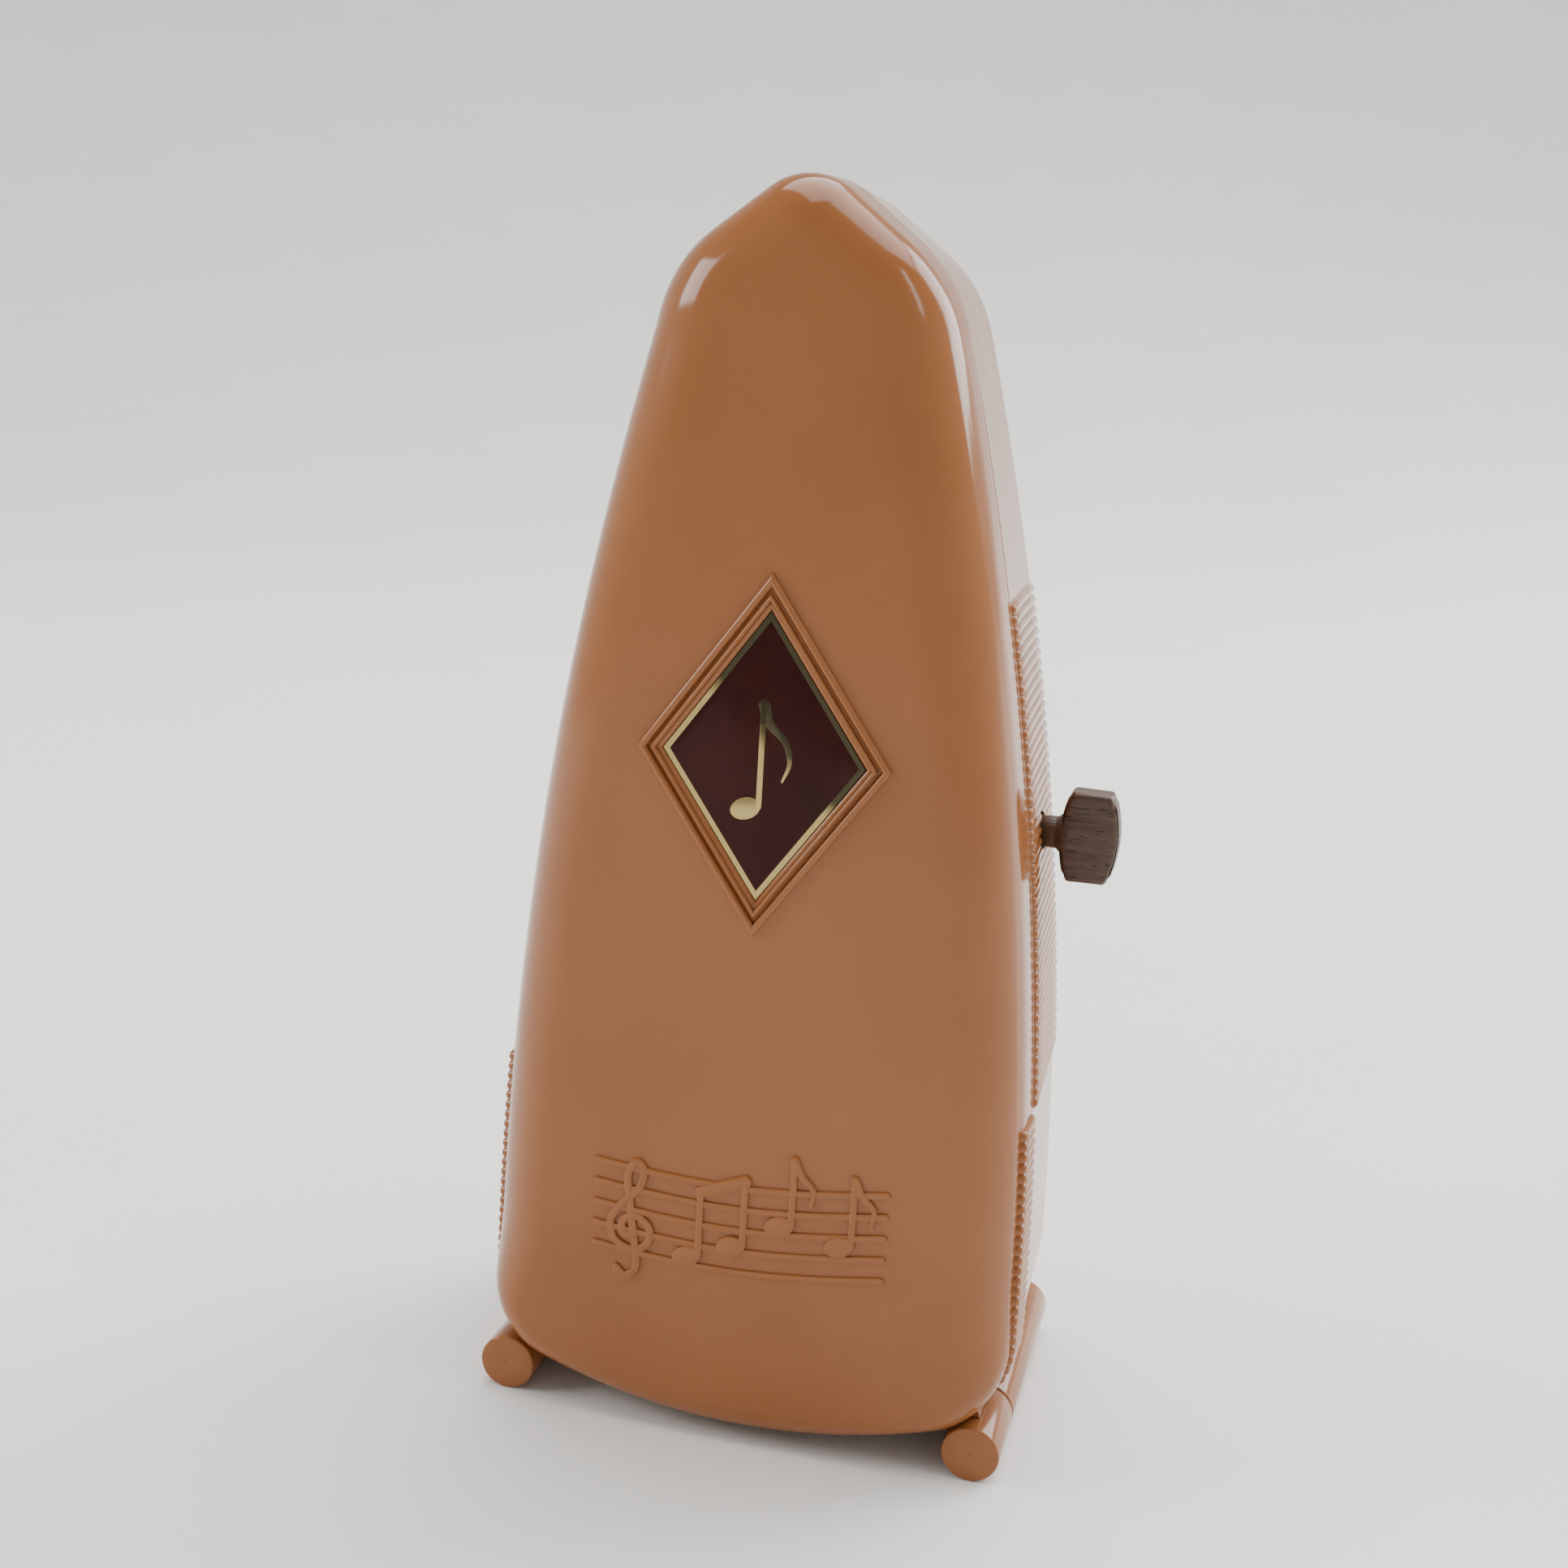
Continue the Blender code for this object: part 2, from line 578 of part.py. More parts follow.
def make_front_inside():
    """The bezel that the cover slides over, the scale plate, its screws and the pendulum catch."""
    ring = [case_outline(BEZEL_INSETS[0]), case_outline(BEZEL_INSETS[1])[::-1]]
    flat("inner_bezel", ring, BEZEL_DEPTH, CARAMEL, case, (0, BEZEL_Y, 0))
    holes = [circle(SCREW_RADIUS + GAP, 12, place_at) for place_at in POSTS]
    low, high = PLATE_WINDOW_Z
    right = PLATE_WINDOW_X
    window = [(-right, low), (right, low), (right, high), (-right, high)]
    outline = case_outline(PLATE_INSET)
    flat("scale_plate", [outline, window, *holes], PLATE_THICKNESS, SILVER, case, (0, PLATE_Y, 0))
    for i, (x, z) in enumerate(POSTS):
        where = (x, PLATE_Y - PLATE_THICKNESS / 2 - GAP, z)
        profile = screw_profile(5.0 * MM)
        turned(f"scale_screw_{i + 1}", profile, STEEL, case, where, TURNED_ALONG_Y, 12)
    for i, (x, z) in enumerate(BOSSES):
        where = (x, back_y(z) - HEAD_SINK + GAP, z)
        profile = screw_profile(5.6 * MM)
        turned(f"chassis_screw_{i + 1}", profile, STEEL, case, where, TURNED_FORWARD, 12)
    bm = bmesh.new()
    low, high = ROD_TOP_Z - 3 * MM, ROD_TOP_Z + 2.4 * MM
    add_box(bm, (-CATCH_HALF, CATCH_Y[0], low), (CATCH_HALF, CATCH_Y[1], high))
    catch = from_bmesh("pendulum_catch", bm, STEEL, case)
    leg = bmesh.new()
    plate_front = PLATE_Y - PLATE_THICKNESS / 2 - GAP
    start = (-CATCH_HALF / 2, CATCH_Y[0] + 0.2 * MM, low + 0.6 * MM)
    end = (CATCH_HALF / 2, plate_front, low + 1.5 * MM)
    add_box(leg, start, end)
    cut(catch, from_bmesh("pendulum_catch_leg", leg, None, case), "UNION")


def screw_profile(shank):
    """A cheese-head screw whose head's underside is at 0 and whose shank runs up."""
    return [
        (0, shank),
        (SCREW_RADIUS, shank - SCREW_POINT),
        (SCREW_RADIUS, 0),
        (HEAD_RADIUS, 0),
        (HEAD_RADIUS, -HEAD_HEIGHT),
        (0, -HEAD_HEIGHT),
    ]


# ---------------------------------------------------------------- the movement


def make_chassis():
    bm = bmesh.new()
    low, high = CHASSIS_Z
    path = [
        (CHASSIS_LEFT, CHASSIS_FRONT_Y),
        (CHASSIS_LEFT, CHASSIS_BACK_Y),
        (CHASSIS_RIGHT, CHASSIS_BACK_Y),
        (CHASSIS_RIGHT, CHASSIS_FRONT_Y),
    ]
    bottom = [bm.verts.new((x, y, low)) for x, y in path]
    top = [bm.verts.new((x, y, high)) for x, y in path]
    for i in range(3):
        bm.faces.new((bottom[i + 1], bottom[i], top[i], top[i + 1]))
    mesh = bpy.data.meshes.new("chassis")
    bm.to_mesh(mesh)
    bm.free()
    chassis = place(bpy.data.objects.new("chassis", mesh), STEEL, case)
    solid = chassis.modifiers.new("sheet", "SOLIDIFY")
    solid.thickness = SHEET
    solid.offset = -1
    solid.use_even_offset = True
    removed = bmesh.new()
    left, right = CHASSIS_LEFT - SHEET, CHASSIS_RIGHT + SHEET
    for z in (KEY_Z, IDLER_Z):
        add_rod(removed, (left, TRAIN_Y, z), (right, TRAIN_Y, z), BUSH_RADIUS + GAP, 16)
    add_rod(removed, (IDLER_WHEEL_X, TRAIN_Y, PIVOT_Z), (right, TRAIN_Y, PIVOT_Z), BUSH_RADIUS + GAP, 16)
    for x, z in BOSSES:
        near, far = CHASSIS_BACK_Y - 2 * SHEET, CHASSIS_BACK_Y + SHEET
        add_rod(removed, (x, near, z), (x, far, z), SCREW_RADIUS + GAP, 12)
    cut(chassis, from_bmesh("chassis_cuts", removed, None, case))


def make_frame_pieces():
    """Pillars, bearing cocks and bushes, all fixed to the chassis."""
    for name, z in zip(("lower_pillar", "upper_pillar"), PILLARS_Z):
        profile = rod_profile(PILLAR_RADIUS, INSIDE_LEFT + GAP, INSIDE_RIGHT - GAP)
        turned(name, profile, STEEL, case, (0, PILLAR_Y, z), steps=16)
    for name, y in zip(("verge_front_cock", "verge_rear_cock"), VERGE_COCKS_Y):
        low, high, half = INSIDE_LEFT + GAP, VERGE_COCK_END, COCK_HALF
        bar = [(low, -half), (high, -half), (high, half), (low, half)]
        hole = circle(VERGE_RADIUS + GAP, 16)
        flat(name, [bar, hole], COCK_THICKNESS, BRASS, case, (0, y, PIVOT_Z))
    far, half = CHASSIS_BACK_Y - SHEET - GAP - TRAIN_Y, ESCAPE_COCK_HALF
    tongue = [(-half, -half), (far, -half), (far, half), (-half, half)]
    hole = circle(ARBOR_RADIUS + GAP, 16)
    where = (ESCAPE_COCK_X, TRAIN_Y, PIVOT_Z)
    flat("escape_cock", [tongue, hole], 1.4 * MM, BRASS, case, where, FLAT_ON_SIDE)
    left, right = CHASSIS_LEFT + SHEET / 2, CHASSIS_RIGHT - SHEET / 2
    bushes = (
        ("great_left_bush", left, KEY_Z, KEY_ARBOR_RADIUS),
        ("great_right_bush", right, KEY_Z, KEY_ARBOR_RADIUS),
        ("idler_left_bush", left, IDLER_Z, ARBOR_RADIUS),
        ("idler_right_bush", right, IDLER_Z, ARBOR_RADIUS),
        ("escape_right_bush", right, PIVOT_Z, ARBOR_RADIUS),
    )
    for name, x, z, radius in bushes:
        profile = tube_profile(BUSH_RADIUS, radius + GAP, -SHEET / 2, SHEET / 2)
        turned(name, profile, BRASS, case, (x, TRAIN_Y, z), steps=16)


def gear_outline(teeth):
    """A wheel's edge: straight-sided teeth, thinned a little so that a pair runs with play."""
    pitch_radius = MODULE * teeth / 2
    root, tip = pitch_radius - 1.15 * MODULE, pitch_radius + 0.85 * MODULE
    step = 2 * math.pi / teeth
    points = []
    for i in range(teeth):
        for radius, share in ((root, -0.33), (tip, -0.1), (tip, 0.1), (root, 0.33)):
            angle = step * (i + share)
            points.append((radius * math.cos(angle), radius * math.sin(angle)))
    return points


def turn_points(points, angle):
    c, s = math.cos(angle), math.sin(angle)
    return [(u * c - v * s, u * s + v * c) for u, v in points]


def saw_outline(teeth, root, tip):
    """A ratchet's edge: each tooth rises slowly and drops straight."""
    step = 2 * math.pi / teeth
    points = []
    for i in range(teeth):
        for radius, share in ((root, 0.0), (tip, 0.9)):
            angle = step * (i + share)
            points.append((radius * math.cos(angle), radius * math.sin(angle)))
    return points


def windows(angles, distance, radius):
    """Round windows in a wheel, all at one distance from its middle."""
    return [circle(radius, 14, (distance * math.cos(a), distance * math.sin(a))) for a in angles]


def make_great_wheel():
    # The lowest tooth space faces the idler pinion.
    mesh_turn = -math.pi / 2 - math.pi / GREAT_TEETH
    edge = turn_points(gear_outline(GREAT_TEETH), mesh_turn)
    pin_hole = circle(CLICK_PIN_RADIUS + GAP, 12, CLICK_PIVOT)
    bore = circle(KEY_ARBOR_RADIUS + GAP, 16)
    outlines = [edge, bore, pin_hole, *windows(GREAT_WINDOW_ANGLES, *GREAT_WINDOWS)]
    flat("great_wheel", outlines, GREAT_THICKNESS, BRASS, great_axis, (GREAT_X, 0, 0), FLAT_ON_SIDE)
    under_head = RATCHET_X - GREAT_X + RATCHET_THICKNESS / 2 + 0.4 * MM
    pin = [
        (0, under_head + 0.7 * MM),
        (CLICK_PIN_HEAD, under_head + 0.7 * MM),
        (CLICK_PIN_HEAD, under_head),
        (CLICK_PIN_RADIUS, under_head),
        (CLICK_PIN_RADIUS, -GREAT_THICKNESS / 2),
        (0, -GREAT_THICKNESS / 2),
    ]
    turned("click_pin", pin, STEEL, great_axis, (GREAT_X, *CLICK_PIVOT), steps=12)
    click_axis = axis("click_axis", (RATCHET_X, *CLICK_PIVOT), great_axis)
    reach = Vector(CLICK_TIP) - Vector(CLICK_PIVOT)
    across = Vector((-reach.y, reach.x)).normalized()
    heading = math.atan2(reach.y, reach.x)
    body = arc((0, 0), CLICK_HUB_RADIUS, heading + 0.7, heading + 2 * math.pi - 0.7, 10)
    body += [tuple(reach - across * CLICK_TIP_HALF), tuple(reach + across * CLICK_TIP_HALF)]
    outlines = [body, circle(CLICK_PIN_RADIUS + GAP, 12)]
    flat("ratchet_click", outlines, RATCHET_THICKNESS, STEEL, click_axis, rotation=FLAT_ON_SIDE)


def make_winding():
    """The key, its arbor and ratchet wheel, and the mainspring in its cup."""
    shoulder, tip = KEY_TENON_X
    tail = CHASSIS_LEFT - 0.5 * MM
    arbor = [
        (0, tip),
        (KEY_TENON_RADIUS, tip),
        (KEY_TENON_RADIUS, shoulder),
        (KEY_ARBOR_RADIUS, shoulder),
        (KEY_ARBOR_RADIUS, tail),
        (0, tail),
    ]
    turned("winding_arbor", arbor, STEEL, key_axis)
    ratchet = [saw_outline(RATCHET_TEETH, RATCHET_ROOT, RATCHET_TIP), circle(KEY_ARBOR_RADIUS + GAP, 16)]
    where = (RATCHET_X, 0, 0)
    flat("ratchet_wheel", ratchet, RATCHET_THICKNESS, STEEL, key_axis, where, FLAT_ON_SIDE)
    middle = (KNOB_X[0] + KNOB_X[1]) / 2
    half = (KNOB_X[1] - KNOB_X[0]) / 2
    curve_radius = (KNOB_HALF_HEIGHT**2 + KNOB_BULGE**2) / (2 * KNOB_BULGE)
    spread = math.asin(KNOB_HALF_HEIGHT / curve_radius)
    outer = arc((half - curve_radius, 0), curve_radius, -spread, spread, 8)
    inner = [(-x, z) for x, z in outer]
    thickness = (-KNOB_THICKNESS / 2, KNOB_THICKNESS / 2)
    key = prism("winding_key", outer + inner[::-1], *thickness, WALNUT, key_axis, 0)
    key.location = (middle, 0, 0)
    bevel = key.modifiers.new("edge", "BEVEL")
    bevel.width = KEY_EDGE
    bevel.segments = 2
    bevel.limit_method = "ANGLE"
    bevel.angle_limit = math.radians(40)
    neck = bmesh.new()
    add_rod(neck, (NECK_START_X, 0, 0), (KNOB_X[0] + 1.0 * MM, 0, 0), NECK_RADIUS, 20)
    cut(key, from_bmesh("winding_key_neck", neck, None, key_axis), "UNION")
    bore = bmesh.new()
    add_rod(bore, (NECK_START_X - WALL, 0, 0), (tip + 0.4 * MM, 0, 0), KEY_TENON_RADIUS + GAP, 16)
    cut(key, from_bmesh("winding_key_bore", bore, None, key_axis))
    near, mouth = CUP_X
    cup = [
        (CUP_HOLE, near + CUP_FLOOR),
        (CUP_RADIUS - CUP_WALL, near + CUP_FLOOR),
        (CUP_RADIUS - CUP_WALL, mouth),
        (CUP_RADIUS, mouth),
        (CUP_RADIUS, near),
        (CUP_HOLE, near),
    ]
    turned("spring_cup", cup, STEEL, case, (0, TRAIN_Y, KEY_Z), steps=28)
    where = (SPRING_X, TRAIN_Y, KEY_Z)
    flat("mainspring", [spring_outline()], SPRING_WIDTH, SPRING_STEEL, case, where, FLAT_ON_SIDE)


def spring_outline():
    """A spiral strip, out along one side and back along the other."""
    inner, outer = SPRING_RADII
    count = int(SPRING_TURNS * 16)
    paths = []
    for offset in (-SPRING_STRIP / 2, SPRING_STRIP / 2):
        path = []
        for i in range(count + 1):
            radius = inner + (outer - inner) * i / count + offset
            angle = 2 * math.pi * SPRING_TURNS * i / count
            path.append((radius * math.cos(angle), radius * math.sin(angle)))
        paths.append(path)
    return paths[1] + paths[0][::-1]


def make_idler():
    left, right = CHASSIS_LEFT - 2 * ARBOR_END, CHASSIS_RIGHT + ARBOR_END
    turned("idler_arbor", rod_profile(ARBOR_RADIUS, left, right), STEEL, idler_axis, steps=14)
    hole = circle(ARBOR_RADIUS + GAP, 14)
    # A tooth of the pinion points up into the great wheel, and one of the wheel's points down.
    pinion = turn_points(gear_outline(IDLER_PINION_TEETH), math.pi / 2)
    flat("idler_pinion", [pinion, hole], 2.6 * MM, STEEL, idler_axis, (GREAT_X, 0, 0), FLAT_ON_SIDE)
    wheel = turn_points(gear_outline(IDLER_TEETH), -math.pi / 2)
    outlines = [wheel, hole, *windows(IDLER_WINDOW_ANGLES, *IDLER_WINDOWS)]
    flat("idler_wheel", outlines, 1.4 * MM, BRASS, idler_axis, (IDLER_WHEEL_X, 0, 0), FLAT_ON_SIDE)


def make_escape():
    profile = rod_profile(ARBOR_RADIUS, CROWN_TIP_X + 1.5 * MM, CHASSIS_RIGHT + ARBOR_END)
    turned("escape_arbor", profile, STEEL, escape_axis, steps=14)
    # A tooth space of the pinion faces up, where the idler wheel's lowest tooth comes in.
    pinion = turn_points(gear_outline(ESCAPE_PINION_TEETH), math.pi / 2 + math.pi / ESCAPE_PINION_TEETH)
    hole = circle(ARBOR_RADIUS + GAP, 14)
    flat("escape_pinion", [pinion, hole], 2.2 * MM, STEEL, escape_axis, (IDLER_WHEEL_X, 0, 0), FLAT_ON_SIDE)
    inside = CROWN_BACK_X - CROWN_WALL
    cup = [
        (ARBOR_RADIUS + GAP, CROWN_BACK_X),
        (CROWN_RADIUS, CROWN_BACK_X),
        (CROWN_RADIUS, CROWN_TIP_X),
        (CROWN_RADIUS - CROWN_WALL, CROWN_TIP_X),
        (CROWN_RADIUS - CROWN_WALL, inside),
        (ARBOR_RADIUS + GAP, inside),
    ]
    crown = turned("crown_wheel", cup, BRASS, escape_axis, steps=45)
    notches = bmesh.new()
    for i in range(CROWN_TEETH):
        add_crown_notch(notches, 2 * math.pi * i / CROWN_TEETH)
    cut(crown, from_bmesh("crown_notches", notches, None, escape_axis))


def add_crown_notch(bm, angle):
    """A wedge that leaves a saw tooth on each side of it, cut in from the crown's rim."""
    width = 2 * math.pi * CROWN_RADIUS / CROWN_TEETH
    shallow, deep = CROWN_TIP_X - 1 * MM, CROWN_TIP_X + CROWN_NOTCH_DEPTH
    outline = [(shallow, -0.1 * width), (deep, -0.1 * width), (shallow, 0.98 * width)]
    turn = Matrix.Rotation(angle, 4, "X")
    low = [bm.verts.new(turn @ Vector((x, across, CROWN_RADIUS - 2 * MM))) for x, across in outline]
    high = [bm.verts.new(turn @ Vector((x, across, CROWN_RADIUS + 1 * MM))) for x, across in outline]
    bm.faces.new(low)
    bm.faces.new(high[::-1])
    for i in range(3):
        bm.faces.new((low[i - 1], low[i], high[i], high[i - 1]))


# ---------------------------------------------------------------- the pendulum


def make_pendulum():
    half = ROD_HALF_WIDTH
    top, bottom = ROD_TOP_Z - PIVOT_Z, ROD_BOTTOM_Z - PIVOT_Z
    strip = [(half, bottom)]
    for i in range(ROD_NOTCHES):
        z = ROD_NOTCHES_START + i * ROD_NOTCH_PITCH
        strip += [(half, z - ROD_NOTCH_HALF), (half - ROD_NOTCH_DEPTH, z), (half, z + ROD_NOTCH_HALF)]
    strip += [(half, top - 1 * MM), (0.5 * half, top), (-0.5 * half, top)]
    strip += [(-half, top - 1 * MM), (-half, bottom)]
    hole = circle(VERGE_RADIUS + GAP, 16)
    flat("pendulum_rod", [strip, hole], ROD_THICKNESS, STEEL, swing_axis, (0, ROD_Y, 0))
    verge = rod_profile(VERGE_RADIUS, ROD_Y - 1.0 * MM, VERGE_END_Y)
    turned("verge_arbor", verge, STEEL, swing_axis, rotation=TURNED_ALONG_Y, steps=16)
    hub = tube_profile(HUB_RADIUS, VERGE_RADIUS + GAP, *HUB_Y)
    turned("pendulum_hub", hub, BRASS, swing_axis, rotation=TURNED_ALONG_Y, steps=18)
    pallets = zip(("front_pallet", "rear_pallet"), PALLETS_Y, (PALLET_LEAN, -PALLET_LEAN))
    for name, y, lean in pallets:
        ring = arc((0, 0), PALLET_HUB_RADIUS, math.radians(lean + 14), math.radians(lean + 346), 14)
        tip = [(PALLET_REACH, -0.35 * MM), (PALLET_REACH, 0.35 * MM)]
        outline = ring + turn_points(tip, math.radians(lean))
        hole = circle(VERGE_RADIUS + GAP, 14)
        flat(name, [outline, hole], PALLET_THICKNESS, STEEL, swing_axis, (0, y, 0))
    weight = [
        (0, WEIGHT_THICKNESS),
        (WEIGHT_RADIUS - WEIGHT_EDGE, WEIGHT_THICKNESS),
        (WEIGHT_RADIUS, WEIGHT_THICKNESS - WEIGHT_EDGE),
        (WEIGHT_RADIUS, 0),
        (0, 0),
    ]
    place_z = WEIGHT_Z - PIVOT_Z
    for name, y in zip(("front_counterweight", "rear_counterweight"), WEIGHTS_Y):
        turned(name, weight, LEAD, swing_axis, (0, y, place_z), TURNED_ALONG_Y, 28)
    rivet = rod_profile(RIVET_RADIUS, 0, WEIGHTS_Y[0] - GAP - RIVET_Y)
    turned("weight_rivet", rivet, BRASS, swing_axis, (0, RIVET_Y, place_z), TURNED_ALONG_Y, 14)


def make_bob():
    """The sliding weight: two cheeks joined over the rod, and the leaf that grips the rod's notches."""
    top, bottom, height = BOB_TOP_HALF, BOB_BOTTOM_HALF, BOB_HALF_HEIGHT
    outline = [(-top, height), (-bottom, -height), (bottom, -height), (top, height)]
    bob = prism("bob", outline, *BOB_Y, BRASS, bob_slide, 0)
    slot = bmesh.new()
    low = (-ROD_HALF_WIDTH - GAP, ROD_Y - ROD_THICKNESS / 2 - GAP, -2 * height)
    high = (ROD_HALF_WIDTH + GAP, 2 * BOB_Y[1], 2 * height)
    add_box(slot, low, high)
    cut(bob, from_bmesh("bob_slot", slot, None, bob_slide))
    half, tall = ROD_HALF_WIDTH + 1.2 * MM, BOB_LEAF_HALF_HEIGHT
    leaf = [(-half, -tall), (half, -tall), (half, tall), (-half, tall)]
    where = (0, BOB_LEAF_Y, 0)
    flat("bob_spring", [leaf], BOB_LEAF_THICKNESS, SPRING_STEEL, bob_slide, where)


make_rear_housing()
make_front_cover()
make_feet()
make_front_inside()
make_chassis()
make_frame_pieces()
make_great_wheel()
make_winding()
make_idler()
make_escape()
make_pendulum()
make_bob()

for obj in parts.objects:
    if obj.type == "MESH":
        obj.data.shade_smooth()
        obj.data.set_sharp_from_angle(angle=math.radians(35))
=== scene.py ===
"""The looks of a small wind-up metronome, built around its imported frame: a glossy two-part case with grip
ribs, a diamond badge, raised ornament, foot rods and a grained winding key, and behind the cover the scale,
the pendulum and the clockwork. Lengths are metres. The case's own frame has x to the right from the middle,
y to the back from the front face, and z up from the surface that the feet stand on."""

import json
import math

import bmesh
import bpy
import numpy as np
from mathutils import Matrix, Vector


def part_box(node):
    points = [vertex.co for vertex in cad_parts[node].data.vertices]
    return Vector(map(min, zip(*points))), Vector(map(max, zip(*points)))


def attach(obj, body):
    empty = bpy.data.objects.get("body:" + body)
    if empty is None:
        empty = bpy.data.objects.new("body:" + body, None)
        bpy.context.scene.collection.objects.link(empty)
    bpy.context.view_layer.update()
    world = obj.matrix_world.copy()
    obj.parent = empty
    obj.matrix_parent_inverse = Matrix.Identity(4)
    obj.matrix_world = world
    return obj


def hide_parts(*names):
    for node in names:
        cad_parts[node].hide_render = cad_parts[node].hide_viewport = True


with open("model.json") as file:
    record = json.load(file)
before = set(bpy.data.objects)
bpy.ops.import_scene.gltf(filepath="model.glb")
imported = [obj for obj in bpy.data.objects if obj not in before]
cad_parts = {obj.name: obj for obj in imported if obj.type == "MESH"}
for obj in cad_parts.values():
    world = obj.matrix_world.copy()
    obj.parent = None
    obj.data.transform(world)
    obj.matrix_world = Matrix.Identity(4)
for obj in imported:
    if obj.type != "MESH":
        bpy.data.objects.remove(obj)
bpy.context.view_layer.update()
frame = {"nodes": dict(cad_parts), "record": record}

MM = 0.001

# The case's own frame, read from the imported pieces.
PLATE_LOW, PLATE_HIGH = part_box("scale_plate")
COVER_LOW, COVER_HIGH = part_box("front_cover")
HOUSING_LOW, HOUSING_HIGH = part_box("rear_housing")
FOOT_LOW, FOOT_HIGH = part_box("front_left_foot")
BADGE_PROUD = 0.8 * MM
CASE_X = (PLATE_LOW.x + PLATE_HIGH.x) / 2
CASE_Y = COVER_LOW.y + BADGE_PROUD
APEX_Z = COVER_HIGH.z
BELLY_Z = COVER_LOW.z
COVER_RIM_Y = COVER_HIGH.y - CASE_Y
HOUSING_RIM_Y = HOUSING_LOW.y - CASE_Y
SEAM_Y = (COVER_RIM_Y + HOUSING_RIM_Y) / 2

# The case outline, seen from the front: tangent arcs for belly, corner, side, shoulder and apex.
RIB_RADIUS = 0.62 * MM
SIDE_HALF_WIDTH = 35.3 * MM
SIDE_WIDEST_Z = 16.0 * MM
SIDE_RADIUS = 487.6 * MM
SHOULDER_Z = 143.0 * MM
SHOULDER_RADIUS = 19.0 * MM
ROOF_ANGLE = math.radians(52.7)
APEX_RADIUS = 8.0 * MM
BELLY_RADIUS = 90.0 * MM
CORNER_RADIUS = 12.0 * MM

# Depths.
BACK_Y = 46.0 * MM
BACK_LEAN = 0.053
BACK_DRAFT = 1.2 * MM
COVER_DRAFT = 0.4 * MM
BACK_ROUND = 2.0 * MM
WALL = 1.8 * MM
RIM_ROUND = 0.12 * MM
FACE_CROWN = 1.2 * MM
BELLY_ROUND = 4.0 * MM
SIDE_ROUND = 9.0 * MM
HIGH_ROUND = 10.0 * MM
APEX_ROUND = 7.5 * MM
CORNER_ROUND_Z = (5.0 * MM, 26.0 * MM)
ROUND_GROWS_Z = (80.0 * MM, 136.0 * MM)
ROUND_SHRINKS_Z = (140.0 * MM, 155.0 * MM)

# The grip ribs.
RIB_PITCH = 1.4 * MM
RIB_CURVE = 0.8 * MM
RIB_SINK = RIB_CURVE - RIB_RADIUS
RIB_TIP = math.sqrt(RIB_CURVE**2 - RIB_SINK**2)
UPPER_RIBS_Z = (47.4 * MM, 110.4 * MM)
LOWER_RIBS_Z = (12.0 * MM, 45.6 * MM)
RIB_SETBACK = 0.8 * MM
COVER_RIBS_Y = 7.6 * MM

# The diamond badge.
BADGE_Z = 91.9 * MM
BADGE_OUTER = (15.9 * MM, 22.4 * MM)

# The foot rods.
FOOT_RADIUS = (FOOT_HIGH.x - FOOT_LOW.x) / 2 + 0.6 * MM
FOOT_FORWARD = 2.2 * MM
FOOT_FRONT_Y = FOOT_LOW.y - CASE_Y - FOOT_FORWARD
FOOT_FLAT = 1.0 * MM
FOOT_X = abs((FOOT_LOW.x + FOOT_HIGH.x) / 2 - CASE_X) + 0.25 * MM
FOOT_Z = math.sqrt(FOOT_RADIUS**2 - (FOOT_FLAT / 2) ** 2)


# ---------------------------------------------------------------- materials


def new_material(name, colour, roughness, metallic=0.0, **fixed):
    """A Principled material, its tree and its shader. Other sockets are named with _ for a space."""
    made = bpy.data.materials.new(name)
    made.use_nodes = True
    shader = made.node_tree.nodes["Principled BSDF"]
    shader.inputs["Base Color"].default_value = (*colour, 1)
    shader.inputs["Roughness"].default_value = roughness
    shader.inputs["Metallic"].default_value = metallic
    for socket, value in fixed.items():
        shader.inputs[socket.replace("_", " ")].default_value = value
    return made, made.node_tree, shader


def add_node(tree, kind, links=(), **settings):
    """A shader node: settings are its own properties, and links are (socket name, value or output) pairs."""
    made = tree.nodes.new(kind)
    for name, value in settings.items():
        setattr(made, name, value)
    for socket, value in links:
        target = made.inputs[socket]
        if isinstance(value, bpy.types.NodeSocket):
            tree.links.new(value, target)
        else:
            target.default_value = value
    return made


def coordinates(tree, stretch=(1, 1, 1)):
    """The piece's own coordinates in metres, stretched so that a pattern can run along one axis."""
    source = add_node(tree, "ShaderNodeTexCoord").outputs["Object"]
    return add_node(tree, "ShaderNodeMapping", [("Vector", source), ("Scale", stretch)]).outputs["Vector"]


def noise(tree, vector, scale, detail=2.0, roughness=0.5):
    links = [("Vector", vector), ("Scale", scale), ("Detail", detail), ("Roughness", roughness)]
    return add_node(tree, "ShaderNodeTexNoise", links).outputs["Fac"]


def remap(tree, value, from_low, from_high, to_low, to_high):
    links = [("Value", value), ("From Min", from_low), ("From Max", from_high)]
    links += [("To Min", to_low), ("To Max", to_high)]
    return add_node(tree, "ShaderNodeMapRange", links).outputs["Result"]


def calculate(tree, operation, first, second):
    return add_node(tree, "ShaderNodeMath", [(0, first), (1, second)], operation=operation).outputs[0]


def mix_colour(tree, share, first, second):
    made = tree.nodes.new("ShaderNodeMix")
    made.data_type = "RGBA"
    for index, value in ((0, share), (6, first), (7, second)):
        if isinstance(value, bpy.types.NodeSocket):
            tree.links.new(value, made.inputs[index])
        else:
            made.inputs[index].default_value = (*value, 1) if isinstance(value, tuple) else value
    return made.outputs[2]


